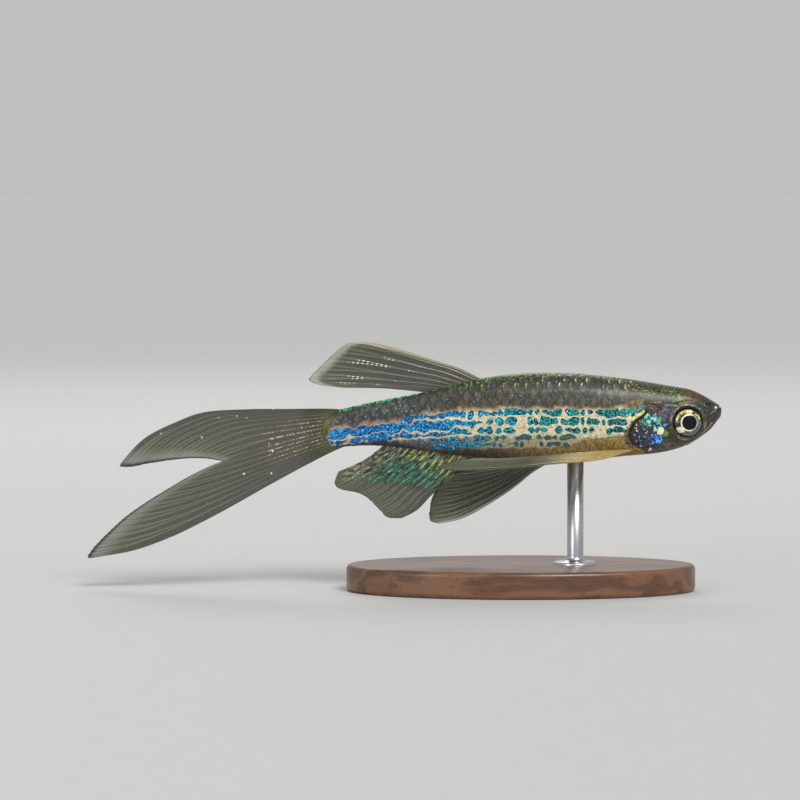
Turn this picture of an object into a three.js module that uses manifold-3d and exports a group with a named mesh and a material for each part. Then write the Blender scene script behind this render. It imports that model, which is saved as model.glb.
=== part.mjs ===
// Longfin leopard zebra danio, a life-size still model on a small display stand.
// Millimetres, +Z up. The fish faces +X and its right side faces -Y. The origin
// is the middle of the stand's underside.
//
// Places on the fish are given as s, the distance behind the tip of the snout,
// and z, the height over that tip.

import * as THREE from 'three';
import { mergeVertices } from 'three/addons/utils/BufferGeometryUtils.js';
import Module from 'manifold-3d';

const wasm = await Module();
wasm.setup();

// Driving dimensions
const STANDARD_LENGTH = 38;
const BODY_END = STANDARD_LENGTH + 1.6;
const PITCH = THREE.MathUtils.degToRad(2.64);
const SNOUT_HEIGHT = 17.5;
const STAND_MIDDLE = 19.5;
const GAP = 0.3;
const SMALLEST_EDGE = 0.015;

// The tail swings gently to the fish's left, starting behind the shoulder
const SWING_START = 16;
const SWING_END = 62;
const TAIL_SWING = 1.5;

// Body sections: s, back over the axis, belly under the axis, half width, fullness
const SECTIONS = [
  [0.0, 0.0, 0.0, 0.0, 2.2],
  [0.06, 0.33, 0.4, 0.45, 2.2],
  [0.2, 0.52, 0.64, 0.7, 2.2],
  [0.5, 0.8, 1.02, 1.0, 2.3],
  [1.0, 1.13, 1.62, 1.28, 2.4],
  [1.8, 1.64, 2.28, 1.58, 2.5],
  [3.0, 2.23, 3.0, 1.86, 2.7],
  [4.2, 2.53, 3.4, 2.03, 2.7],
  [5.5, 2.81, 3.68, 2.18, 2.6],
  [7.0, 3.13, 3.84, 2.33, 2.5],
  [9.0, 3.54, 3.92, 2.44, 2.4],
  [11.8, 3.99, 4.04, 2.48, 2.3],
  [14.8, 4.38, 4.05, 2.42, 2.25],
  [17.5, 4.55, 3.97, 2.28, 2.2],
  [20.5, 4.53, 3.77, 2.06, 2.2],
  [23.5, 4.27, 3.43, 1.76, 2.15],
  [26.5, 3.68, 2.98, 1.42, 2.1],
  [29.0, 3.19, 2.52, 1.16, 2.1],
  [32.0, 2.75, 1.99, 0.9, 2.1],
  [34.5, 2.35, 1.76, 0.72, 2.1],
  [36.5, 1.98, 1.76, 0.6, 2.1],
  [38.2, 1.66, 1.84, 0.5, 2.1],
  [39.6, 1.45, 1.85, 0.42, 2.1],
];
const BODY_RINGS = 46;
const BODY_SIDES = 28;
const SNOUT_RING_SHARE = 0.3;

// Lines that part the body, from the back down to the belly
const SHOULDER_LINE = [
  [7.5, 5], [7.7, 3], [8.5, 0.6], [9.05, -1.3], [8.85, -2.6], [8.0, -3.7], [6.9, -5.5],
];
const VENT_LINE = [[24.4, 6], [24.4, -7]];
const STEM_END_LINE = [
  [37.6, 3], [37.9, 0], [38.5, -1], [38.7, -1.85], [38.5, -2.7], [37.9, -3.7], [37.6, -6],
];
const CUT_WIDTH = 12;

// Eye: a drum with a domed front. Distances along its axis are from the middle
// of the head, and its front is turned a little towards the snout.
const EYE = { s: 3.36, z: -1.0, radius: 1.36, back: 0.75, edge: 1.72, front: 2.12, turn: 0.12 };
const EYE_DOME = [[0.93, 0.45], [0.75, 0.78], [0.5, 0.93], [0.25, 0.99]];
const EYE_BACK = { share: 0.75, slope: 0.35 };
const ORBIT_RIM = { radius: 1.76, tube: 0.15 };

// Gill cover, a plate in a flat-bottomed recess of the head
const GILL_COVER = { inner: 1.2, proud: 0.1, top: 0.9, bottom: -3.1, middle: [7.3, -1.2], clear: 0.35 };
const GILL_FRONT_LINE = [
  [7.9, 0.8], [7.0, 0.85], [6.2, 0.45], [5.85, -0.4], [5.85, -1.6], [6.3, -2.6], [7.2, -3.1],
  [8.0, -3.15],
];

// Mouth: a cleft that runs down and back from the tip of the snout
const MOUTH_TOP = [-0.15, 1.0];
const MOUTH_CORNER = [0.66, -0.5];
const MOUTH_GAP = 0.16;
const LIP = { radius: 0.13, upper: 0.17, lower: -0.15, inset: 0.04, sink: 0.3 };

// Nostrils and barbels
const NOSTRIL = { s: 1.35, z: 0.72, radius: 0.2, mound: 0.3, sunk: 0.16, raised: 0.1 };
const BARBEL = { root: 0.25, tip: 0.1, sink: 0.35, lift: 0.05 };
const CHEEK_BARBEL = [[0.75, -0.6], [1.25, -1.35], [1.9, -2.1], [2.7, -2.75], [3.6, -3.15]];
const SNOUT_BARBEL = [[0.45, 0.35], [0.8, 0.1], [1.25, -0.25]];

// Thicknesses of a fin at its root, along its rays, between them and at its tip
const FIN = { root: 0.8, ray: 0.74, web: 0.5, tip: 0.34, rootShare: 0.2, notch: 0.985 };

// The unpaired fins wave sideways towards their outer edge, from front to rear
const FIN_WAVE = { reach: 0.18, turn: 4 };

// Outline of each fin: where its root starts and ends, then the front edge and
// the rear edge from the root to the tip, and the outer edge between the tips
const DORSAL = {
  rays: 9,
  rows: 7,
  root: [23.2, 27.8],
  front: [[25.3, 4.13], [27.7, 4.9], [31.4, 6.08], [33.6, 6.6], [35.2, 6.76]],
  rear: [[32.7, 2.2], [37.0, 2.27]],
  edge: [[36.2, 6.68], [37.3, 6.0], [38.5, 4.9], [39.6, 3.8], [40.2, 3.02], [39.0, 2.52]],
};
const ANAL = {
  rays: 13,
  rows: 6,
  root: [24.7, 32.4],
  front: [[25.6, -5.7], [26.8, -7.04], [28.2, -8.2], [29.6, -9.65], [31.2, -10.5]],
  rear: [[34.4, -4.52], [35.9, -5.31], [37.3, -5.9]],
  edge: [[32.5, -10.4], [33.3, -9.7], [34.2, -8.77], [35.3, -8.06], [37.0, -7.67], [37.7, -7.1]],
};
const TAIL_UPPER = {
  rays: 9,
  rows: 8,
  root: [0.1, -1.75],
  front: [
    [42.6, 0.2], [46.0, 0.17], [50.2, -0.1], [53.0, -1.05], [56.1, -2.62], [58.2, -4.71], [58.7, -5.57],
  ],
  rear: [[43.8, -3.25], [48.6, -4.78]],
  edge: [[57.7, -5.57], [55.4, -5.14], [52.6, -4.74], [50.6, -4.66]],
};
const TAIL_LOWER = {
  rays: 9,
  rows: 9,
  root: [-3.95, -2.05],
  front: [
    [40.8, -5.49], [44.3, -7.41], [47.8, -9.4], [50.6, -10.9], [53.7, -12.4], [57.3, -13.7], [61.0, -14.4],
  ],
  rear: [[43.8, -3.6], [48.6, -5.08]],
  edge: [[61.9, -14.3], [60.1, -12.2], [57.5, -9.93], [54.0, -7.66], [51.0, -5.95]],
};

// A pelvic fin leans out from the belly
const PELVIC = {
  rays: 8,
  rows: 6,
  root: [15.4, 17.4],
  front: [[18.2, -5.8], [20.2, -7.36], [22.6, -8.93], [25.2, -10.3], [27.6, -10.8]],
  rear: [[21.5, -5.5], [25.8, -5.95]],
  edge: [[28.4, -10.5], [28.4, -9.65], [28.1, -8.4], [27.1, -7.0]],
  rootSide: 0.75,
  tipSide: 2.3,
  rearInset: 0.3,
  lean: 0.35,
};

// A pectoral fin lies almost flat. Its outline is seen from above, as s and the
// distance from the middle of the fish, with the heights of its two edges.
const PECTORAL = {
  rays: 10,
  rows: 9,
  root: [8.4, 9.5],
  rootHeight: -3.7,
  front: [[12.5, 4.2], [17.5, 5.5], [22.5, 6.1], [26.6, 6.0]],
  rear: [[14.0, 2.75], [19.0, 2.9], [24.4, 3.3]],
  edge: [[27.9, 5.5], [27.6, 4.6], [26.2, 3.8]],
  frontHeights: [[0, -3.7], [0.2, -4.4], [0.5, -4.85], [0.8, -5.3], [1, -5.4]],
  rearHeights: [[0, -3.7], [0.3, -3.85], [0.6, -4.2], [0.8, -4.4], [1, -4.35]],
  lean: 0.45,
};

// Stand
const BASE = { length: 34, width: 20, thickness: 2.6, bevel: 0.4 };
const ROD = { s: 14.2, radius: 0.8, flangeRadius: 2.1, flangeHeight: 0.55, chamfer: 0.15, recess: 0.6 };

const model = new THREE.Group();

function material(color, roughness, metalness = 0) {
  return new THREE.MeshStandardMaterial({ color, roughness, metalness });
}

function addMesh(name, geometry, finish) {
  geometry.computeVertexNormals();
  const mesh = new THREE.Mesh(geometry, finish);
  mesh.name = name;
  model.add(mesh);
}

// Smooth curve through pairs of numbers
function curveThrough(points) {
  return new THREE.SplineCurve(points.map(([a, b]) => new THREE.Vector2(a, b)));
}

// Reads a table of rows whose first entry is a place, at any place
function tableReader(rows) {
  const places = rows.map((row) => row[0]);
  const values = rows.flatMap((row) => row.slice(1));
  const width = rows[0].length - 1;
  const interpolant = new THREE.CubicInterpolant(places, values, width, new Float32Array(width));
  return (at) => Array.from(interpolant.evaluate(at));
}

const readSection = tableReader(SECTIONS);

function sectionAt(s) {
  const [back, belly, halfWidth, fullness] = readSection(s);
  const axis = -s * Math.tan(PITCH);
  return {
    middle: axis + (back - belly) / 2,
    halfHeight: Math.max((back + belly) / 2, 0),
    halfWidth: Math.max(halfWidth, 0),
    fullness,
  };
}

// How far the rounded outline reaches along one half axis, given its share of the other
function roundedReach(share, fullness) {
  return (1 - Math.min(1, Math.abs(share)) ** fullness) ** (1 / fullness);
}

// Half width of the body at a height
function sideAt(s, z) {
  const { middle, halfHeight, halfWidth, fullness } = sectionAt(s);
  return halfWidth * roundedReach((z - middle) / halfHeight, fullness);
}

// Height of the back (up = 1) or the belly (up = -1) at a distance from the middle
function skinHeight(s, out, up) {
  const { middle, halfHeight, halfWidth, fullness } = sectionAt(s);
  return middle + up * halfHeight * roundedReach(out / halfWidth, fullness);
}

// Sideways place of the spine
function swingAt(s) {
  const share = Math.max(0, s - SWING_START) / (SWING_END - SWING_START);
  return TAIL_SWING * share ** 2;
}

// Point of the model from s, the distance to the fish's left, and z
function place(s, left, z) {
  return new THREE.Vector3(STAND_MIDDLE - s, left + swingAt(s), SNOUT_HEIGHT + z);
}

// Moves every vertex of a geometry by a function of its place
function reshape(geometry, move) {
  const positions = geometry.attributes.position;
  const point = new THREE.Vector3();
  for (let i = 0; i < positions.count; i += 1) {
    point.fromBufferAttribute(positions, i);
    const moved = move(point);
    positions.setXYZ(i, moved.x, moved.y, moved.z);
  }
  return geometry;
}

function signedVolume(geometry) {
  const { position } = geometry.attributes;
  const [a, b, c] = [new THREE.Vector3(), new THREE.Vector3(), new THREE.Vector3()];
  let volume = 0;
  for (let i = 0; i < geometry.index.count; i += 3) {
    a.fromBufferAttribute(position, geometry.index.getX(i));
    b.fromBufferAttribute(position, geometry.index.getX(i + 1));
    c.fromBufferAttribute(position, geometry.index.getX(i + 2));
    volume += a.dot(b.cross(c)) / 6;
  }
  return volume;
}

// Turns a closed surface so that its faces point outwards
function facedOutwards(geometry) {
  if (signedVolume(geometry) < 0) {
    const { index } = geometry;
    for (let i = 0; i < index.count; i += 3) {
      const second = index.getX(i + 1);
      index.setX(i + 1, index.getX(i + 2));
      index.setX(i + 2, second);
    }
  }
  return geometry;
}

function solid(geometry) {
  const bare = geometry.clone();
  bare.deleteAttribute('normal');
  bare.deleteAttribute('uv');
  const merged = facedOutwards(mergeVertices(bare, 1e-4));
  return new wasm.Manifold(new wasm.Mesh({
    numProp: 3,
    vertProperties: new Float32Array(merged.attributes.position.array),
    triVerts: new Uint32Array(merged.index.array),
  }));
}

// The largest closed surface of a solid as a geometry
function geometryOf(manifold) {
  const pieces = manifold.simplify(SMALLEST_EDGE).decompose();
  pieces.sort((a, b) => b.volume() - a.volume());
  const mesh = pieces[0].getMesh();
  const geometry = new THREE.BufferGeometry();
  geometry.setAttribute('position', new THREE.BufferAttribute(new Float32Array(mesh.vertProperties), 3));
  geometry.setIndex(new THREE.BufferAttribute(new Uint32Array(mesh.triVerts), 1));
  return geometry;
}

// The whole body as one closed skin from the snout to past the tail's root,
// its rings closest together on the snout
function bodySkin(proud = 0) {
  const sphere = new THREE.SphereGeometry(1, BODY_SIDES, BODY_RINGS);
  return reshape(sphere, (point) => {
    const along = Math.acos(THREE.MathUtils.clamp(point.y, -1, 1)) / Math.PI;
    const s = BODY_END * THREE.MathUtils.lerp(along ** 2, along, SNOUT_RING_SHARE);
    const { middle, halfHeight, halfWidth, fullness } = sectionAt(s);
    const atPole = along < 1e-6 || along > 1 - 1e-6;
    const turn = Math.atan2(point.z, point.x);
    const [up, side] = [Math.sin(turn), Math.cos(turn)].map((part) => (
      atPole ? 0 : Math.sign(part) * Math.abs(part) ** (2 / fullness)
    ));
    return place(s, side * (halfWidth + proud), middle + up * (halfHeight + proud));
  });
}

// Block through the fish whose side outline is a closed line of [s, z]
function sideBlock(outline, from = -CUT_WIDTH / 2, to = CUT_WIDTH / 2) {
  const corners = outline.map(([s, z]) => new THREE.Vector2(STAND_MIDDLE - s, SNOUT_HEIGHT + z));
  const shape = new THREE.Shape(corners);
  const block = new THREE.ExtrudeGeometry(shape, { depth: to - from, bevelEnabled: false });
  block.rotateX(Math.PI / 2);
  block.translate(0, to, 0);
  return solid(mergeVertices(block));
}

function sampled(line, count = 14) {
  return curveThrough(line).getPoints(count).map((point) => [point.x, point.y]);
}

function shifted(line, ds) {
  return line.map(([s, z]) => [s + ds, z]);
}

// Block between two lines that run from the back down to the belly
function blockBetween(frontLine, rearLine) {
  return sideBlock([...frontLine, ...rearLine.toReversed()]);
}

// Tapered strand of six sides along points, with closed ends
function strand(points, rootRadius, tipRadius, steps) {
  const curve = new THREE.CatmullRomCurve3(points);
  const frames = curve.computeFrenetFrames(steps);
  const straight = new THREE.CylinderGeometry(tipRadius, rootRadius, 1, 6, steps);
  return reshape(straight, (point) => {
    const step = Math.round((point.y + 0.5) * steps);
    return curve.getPointAt(step / steps)
      .addScaledVector(frames.normals[step], point.x)
      .addScaledVector(frames.binormals[step], point.z);
  });
}

// Head, torso and tail stem, parted by thin cuts
const body = solid(bodySkin());
const shoulderLine = sampled(SHOULDER_LINE);
const stemEndLine = sampled(STEM_END_LINE, 24);
const beforeSnout = [[-3, 8], [-3, -9]];
const torso = body.intersect(blockBetween(shoulderLine, shifted(VENT_LINE, -GAP)));
const tailStem = body.intersect(blockBetween(VENT_LINE, stemEndLine));
let head = body.intersect(blockBetween(beforeSnout, shifted(shoulderLine, -GAP)));
addMesh('torso', geometryOf(torso), material(0x8a8f86, 0.4, 0.35));
addMesh('tail_stem', geometryOf(tailStem), material(0x5f7d98, 0.4, 0.35));

// Gill covers, each with a recess of the head that is wider by the gap all round
const coverRear = shifted(shoulderLine, -GAP)
  .filter(([, z]) => z < GILL_COVER.top && z > GILL_COVER.bottom)
  .reverse();
const coverOutline = [...sampled(GILL_FRONT_LINE), ...coverRear];
const coverMiddle = new THREE.Vector2(...GILL_COVER.middle);
const recessOutline = coverOutline.map(([s, z]) => {
  const out = new THREE.Vector2(s, z).sub(coverMiddle);
  out.setLength(out.length() + GILL_COVER.clear).add(coverMiddle);
  return [out.x, out.y];
});
const proudBody = solid(bodySkin(GILL_COVER.proud));
for (const [side, left] of [['right', -1], ['left', 1]]) {
  const acrossFrom = (inner) => [left * inner, left * CUT_WIDTH / 2].sort((a, b) => a - b);
  const cover = proudBody.intersect(sideBlock(coverOutline, ...acrossFrom(GILL_COVER.inner)));
  head = head.subtract(sideBlock(recessOutline, ...acrossFrom(GILL_COVER.inner - GAP)));
  addMesh(`gill_cover_${side}`, geometryOf(cover), material(0x7d7a86, 0.35, 0.4));
}

// Eyes, their sockets and the raised rims round them
function eyeProfile() {
  const { back, edge, front, radius } = EYE;
  const dome = EYE_DOME.map(([across, up]) => [radius * across, edge + (front - edge) * up]);
  return [
    [0, back],
    [radius * EYE_BACK.share, back],
    [radius, back + EYE_BACK.slope],
    [radius, edge],
    ...dome,
    [0, front],
  ];
}

function socketProfile() {
  const floor = EYE.back - GAP;
  const wide = EYE.radius + GAP;
  return [
    [0, floor],
    [EYE.radius * EYE_BACK.share, floor],
    [wide, floor + EYE_BACK.slope],
    [wide, CUT_WIDTH / 2],
    [0, CUT_WIDTH / 2],
  ];
}

// Turned shape about the Y axis, set into one side of the head
function inEye(profile, sides, left) {
  const turned = new THREE.LatheGeometry(profile.map(([x, y]) => new THREE.Vector2(x, y)), sides);
  turned.rotateZ(-EYE.turn);
  turned.scale(1, left, 1);
  const centre = place(EYE.s, 0, EYE.z);
  return solid(turned.translate(centre.x - EYE.edge * Math.sin(EYE.turn), centre.y, centre.z));
}

function orbitRim(left) {
  const ring = new THREE.TorusGeometry(ORBIT_RIM.radius, ORBIT_RIM.tube, 6, 26);
  return solid(reshape(ring, (point) => {
    const round = Math.atan2(point.y, point.x);
    const s = EYE.s - Math.cos(round) * ORBIT_RIM.radius;
    const z = EYE.z + Math.sin(round) * ORBIT_RIM.radius;
    return place(EYE.s - point.x, left * (sideAt(s, z) + point.z), EYE.z + point.y);
  }));
}

for (const [side, left] of [['right', -1], ['left', 1]]) {
  head = head.add(orbitRim(left)).subtract(inEye(socketProfile(), 26, left));
  addMesh(`eye_${side}`, geometryOf(inEye(eyeProfile(), 24, left)), material(0x3a3528, 0.12, 0.1));
}

// Path of a lip from the mouth's corner up one side, over the snout and down the other
function lipPath(ds) {
  const shares = Array.from({ length: 9 }, (_, i) => i / 8);
  const rightHalf = shares.flatMap((share) => {
    const s = THREE.MathUtils.lerp(MOUTH_CORNER[0], MOUTH_TOP[0], share) + ds;
    const z = THREE.MathUtils.lerp(MOUTH_CORNER[1], MOUTH_TOP[1], share);
    const width = s > 0 ? sideAt(s, z) : 0;
    const inset = share === 0 ? LIP.sink : LIP.inset;
    return width > inset ? [place(s, inset - width, z)] : [];
  });
  const leftHalf = rightHalf.map((point) => new THREE.Vector3(point.x, -point.y, point.z)).reverse();
  return [...rightHalf, ...leftHalf];
}

function mouthCut() {
  const top = new THREE.Vector2(...MOUTH_TOP);
  const corner = new THREE.Vector2(...MOUTH_CORNER);
  const along = corner.clone().sub(top).setLength(MOUTH_GAP / 2);
  const across = new THREE.Vector2(-along.y, along.x);
  const outline = [
    top.clone().sub(across),
    corner.clone().sub(across),
    corner.clone().add(along),
    corner.clone().add(across),
    top.clone().add(across),
  ];
  return sideBlock(outline.map((point) => [point.x, point.y]));
}

for (const ds of [LIP.upper, LIP.lower]) {
  head = head.add(solid(strand(lipPath(ds), LIP.radius, LIP.radius, 16)));
}
head = head.subtract(mouthCut());

// Nostrils, each a pit in a low mound, and two pairs of barbels
for (const left of [-1, 1]) {
  const spot = place(NOSTRIL.s, left * sideAt(NOSTRIL.s, NOSTRIL.z), NOSTRIL.z);
  const outwards = new THREE.Vector3(1, 2 * left, 1).normalize();
  const ball = (radius, lift) => {
    const centre = spot.clone().addScaledVector(outwards, lift);
    return solid(new THREE.IcosahedronGeometry(radius, 1).translate(centre.x, centre.y, centre.z));
  };
  head = head.add(ball(NOSTRIL.mound, -NOSTRIL.sunk)).subtract(ball(NOSTRIL.radius, NOSTRIL.raised));
  for (const path of [CHEEK_BARBEL, SNOUT_BARBEL]) {
    const points = path.map(([s, z], i) => {
      const lift = i === 0 ? -BARBEL.sink : BARBEL.lift * (i - 1);
      return place(s, left * (sideAt(s, z) + lift), z);
    });
    head = head.add(solid(strand(points, BARBEL.root, BARBEL.tip, 8)));
  }
}
addMesh('head', geometryOf(head), material(0x9a947c, 0.4, 0.25));

// Roots of the fins, kept off what they grow from by the gap
function rootOn(fin, pointAt, count = 5) {
  return Array.from({ length: count }, (_, i) => (
    pointAt(THREE.MathUtils.lerp(fin.root[0], fin.root[1], i / (count - 1)))
  ));
}

const stemEnd = curveThrough(STEM_END_LINE);
function stemEndAt(z) {
  const points = stemEnd.getPoints(60);
  return points.reduce((best, point) => (Math.abs(point.y - z) < Math.abs(best.y - z) ? point : best)).x;
}

const rootOnBack = (s) => [s, skinHeight(s, 0, 1) + GAP];
const rootOnBelly = (s) => [s, skinHeight(s, 0, -1) - GAP];
const rootByPelvis = (s) => [s, skinHeight(s, PELVIC.rootSide, -1) - GAP];
const rootOnStem = (z) => [stemEndAt(z) + GAP, z];
const rootByShoulder = (s) => [s, sideAt(s, PECTORAL.rootHeight) + GAP];

// A fin is a sheet between its root and three edges, with a ridge along each
// ray. Both faces have the same triangles, set apart along one direction.
function finSheet(fin, root, placeOf, across) {
  const columns = 2 * (fin.rays - 1);
  const curves = {
    root: curveThrough(root),
    front: curveThrough([root[0], ...fin.front]),
    rear: curveThrough([root.at(-1), ...fin.rear]),
    edge: curveThrough([fin.front.at(-1), ...fin.edge, fin.rear.at(-1)]),
  };
  const grid = new THREE.PlaneGeometry(1, 1, columns, fin.rows);
  const middles = [];
  const halves = [];
  for (let i = 0; i < grid.attributes.position.count; i += 1) {
    const u = grid.attributes.position.getX(i) + 0.5;
    const v = grid.attributes.position.getY(i) + 0.5;
    const onRay = Math.round(u * columns) % 2 === 0;
    middles.push(placeOf(betweenEdges(curves, u, onRay ? v : v * FIN.notch), u, v));
    halves.push(thicknessAt(v, onRay) / 2);
  }
  return closedSheet(grid, middles, halves, across, columns, fin.rows);
}

// Point of a four-sided patch, blended from its edges
function betweenEdges({ root, front, rear, edge }, u, v) {
  const corners = [
    [root.getPoint(0), (1 - u) * (1 - v)],
    [root.getPoint(1), u * (1 - v)],
    [edge.getPoint(0), (1 - u) * v],
    [edge.getPoint(1), u * v],
  ];
  const point = root.getPointAt(u).multiplyScalar(1 - v).addScaledVector(edge.getPointAt(u), v);
  point.addScaledVector(front.getPointAt(v), 1 - u).addScaledVector(rear.getPointAt(v), u);
  corners.forEach(([corner, share]) => point.addScaledVector(corner, -share));
  return point;
}

function thicknessAt(v, onRay) {
  if (v === 1) {
    return FIN.tip;
  }
  const thick = onRay ? THREE.MathUtils.lerp(FIN.ray, FIN.web, v) : FIN.web;
  return THREE.MathUtils.lerp(FIN.root, thick, Math.min(1, v / FIN.rootShare));
}

function closedSheet(grid, middles, halves, across, columns, rows) {
  const count = middles.length;
  const positions = [1, -1].flatMap((sign) => middles.flatMap((point, i) => (
    point.clone().addScaledVector(across, sign * halves[i]).toArray()
  )));
  const triangles = [];
  const faces = Array.from(grid.index.array);
  for (let i = 0; i < faces.length; i += 3) {
    const [a, b, c] = faces.slice(i, i + 3);
    triangles.push(a, b, c, count + a, count + c, count + b);
  }
  const at = (column, row) => row * (columns + 1) + column;
  const upTo = (length) => Array.from({ length }, (_, i) => i);
  const rim = [
    ...upTo(columns).map((column) => at(column, 0)),
    ...upTo(rows).map((row) => at(columns, row)),
    ...upTo(columns).map((column) => at(columns - column, rows)),
    ...upTo(rows).map((row) => at(0, rows - row)),
  ];
  rim.forEach((here, i) => {
    const next = rim[(i + 1) % rim.length];
    triangles.push(here, next, count + next, here, count + next, count + here);
  });
  const sheet = new THREE.BufferGeometry();
  sheet.setAttribute('position', new THREE.Float32BufferAttribute(positions, 3));
  sheet.setIndex(triangles);
  return facedOutwards(sheet);
}

function addFin(name, sheet, color) {
  addMesh(name, sheet, material(color, 0.45));
}

function addMiddleFin(name, fin, pointAt, color) {
  const placeOf = (point, u, v) => {
    const wave = FIN_WAVE.reach * v * Math.sin(FIN_WAVE.turn * u);
    return place(point.x, wave, point.y);
  };
  addFin(name, finSheet(fin, rootOn(fin, pointAt), placeOf, new THREE.Vector3(0, 1, 0)), color);
}

addMiddleFin('dorsal_fin', DORSAL, rootOnBack, 0x8d9183);
addMiddleFin('anal_fin', ANAL, rootOnBelly, 0x8f9a78);
addMiddleFin('tail_fin_upper', TAIL_UPPER, rootOnStem, 0x8a8f80);
addMiddleFin('tail_fin_lower', TAIL_LOWER, rootOnStem, 0x8a8f80);

for (const [side, left] of [['right', -1], ['left', 1]]) {
  const pelvicPlace = (point, u, v) => {
    const out = THREE.MathUtils.lerp(PELVIC.rootSide, PELVIC.tipSide, v) - PELVIC.rearInset * u * v;
    return place(point.x, left * out, point.y);
  };
  const pelvicAcross = new THREE.Vector3(0, 1, left * PELVIC.lean).normalize();
  const pelvic = finSheet(PELVIC, rootOn(PELVIC, rootByPelvis), pelvicPlace, pelvicAcross);
  addFin(`pelvic_fin_${side}`, pelvic, 0x7d8078);

  const frontHeight = tableReader(PECTORAL.frontHeights);
  const rearHeight = tableReader(PECTORAL.rearHeights);
  const pectoralPlace = (point, u, v) => {
    const z = THREE.MathUtils.lerp(frontHeight(v)[0], rearHeight(v)[0], u);
    return place(point.x, left * point.y, z);
  };
  const pectoralAcross = new THREE.Vector3(0, left * PECTORAL.lean, 1).normalize();
  const pectoral = finSheet(PECTORAL, rootOn(PECTORAL, rootByShoulder), pectoralPlace, pectoralAcross);
  addFin(`pectoral_fin_${side}`, pectoral, 0xa89a6a);
}

// Stand: an oval wooden base and a steel rod whose round foot is let into it
const oval = new THREE.Shape();
oval.absellipse(0, 0, BASE.length / 2 - BASE.bevel, BASE.width / 2 - BASE.bevel, 0, 2 * Math.PI);
const baseBlock = new THREE.ExtrudeGeometry(oval, {
  depth: BASE.thickness - 2 * BASE.bevel,
  bevelThickness: BASE.bevel,
  bevelSize: BASE.bevel,
  bevelSegments: 2,
  curveSegments: 24,
});
baseBlock.translate(0, 0, BASE.bevel);
const rodX = STAND_MIDDLE - ROD.s;
const recessFloor = BASE.thickness - ROD.recess;
const recessHole = new THREE.CylinderGeometry(ROD.flangeRadius + GAP, ROD.flangeRadius + GAP, 2, 28);
recessHole.rotateX(Math.PI / 2);
recessHole.translate(rodX, 0, recessFloor + 1);
const standBase = solid(mergeVertices(baseBlock)).subtract(solid(recessHole));
addMesh('stand_base', geometryOf(standBase), material(0x4a2f20, 0.4));

const rodTop = SNOUT_HEIGHT + skinHeight(ROD.s, 0, -1) - GAP;
const rodFoot = recessFloor + GAP;
const flangeTop = rodFoot + ROD.flangeHeight;
const rodProfile = [
  [0, rodFoot],
  [ROD.flangeRadius, rodFoot],
  [ROD.flangeRadius, flangeTop - ROD.chamfer],
  [ROD.flangeRadius - ROD.chamfer, flangeTop],
  [ROD.radius, flangeTop + ROD.chamfer],
  [ROD.radius, rodTop],
  [0, rodTop],
];
const rod = new THREE.LatheGeometry(rodProfile.map(([x, y]) => new THREE.Vector2(x, y)), 24);
rod.rotateX(Math.PI / 2);
rod.translate(rodX, 0, 0);
addMesh('stand_rod', geometryOf(solid(rod)), material(0xb9bcc0, 0.25, 1));

export default model;
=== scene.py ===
import functools
import math

import bmesh
import bpy
import numpy as np
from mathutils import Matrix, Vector


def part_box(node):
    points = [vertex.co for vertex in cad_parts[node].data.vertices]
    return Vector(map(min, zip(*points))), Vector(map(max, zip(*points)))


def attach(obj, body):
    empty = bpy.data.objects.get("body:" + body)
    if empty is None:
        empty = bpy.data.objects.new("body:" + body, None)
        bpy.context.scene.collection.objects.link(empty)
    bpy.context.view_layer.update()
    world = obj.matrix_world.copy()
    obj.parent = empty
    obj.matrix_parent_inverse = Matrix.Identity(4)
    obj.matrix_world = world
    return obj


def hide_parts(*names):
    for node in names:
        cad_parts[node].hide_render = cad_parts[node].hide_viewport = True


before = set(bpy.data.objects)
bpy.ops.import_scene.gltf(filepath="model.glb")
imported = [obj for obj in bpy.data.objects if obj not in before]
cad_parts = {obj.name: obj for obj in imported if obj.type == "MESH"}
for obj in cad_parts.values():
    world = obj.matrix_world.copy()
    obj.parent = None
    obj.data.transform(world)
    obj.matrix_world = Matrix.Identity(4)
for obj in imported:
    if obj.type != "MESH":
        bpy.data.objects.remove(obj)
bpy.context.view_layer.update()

bl_info = {
    "name": "Longfin Leopard Danio",
    "version": (1, 0, 0),
    "blender": (4, 5, 0),
    "location": "View3D > Sidebar > Danio",
    "description": "Dresses the danio model with skin, scales, eyes, fins, barbels and stand",
    "category": "Add Mesh",
}

# Places on the fish are given in millimetres as s, the distance behind the tip
# of the snout, left, the distance to the fish's left, and z, the height over
# that tip. to_frame turns them into metres in the model's frame.
MM = 0.001
STAND_MIDDLE = 19.5
SNOUT_HEIGHT = 17.5
PITCH = math.radians(2.64)
SWING_START = 16
SWING_END = 62
TAIL_SWING = 1.5

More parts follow.
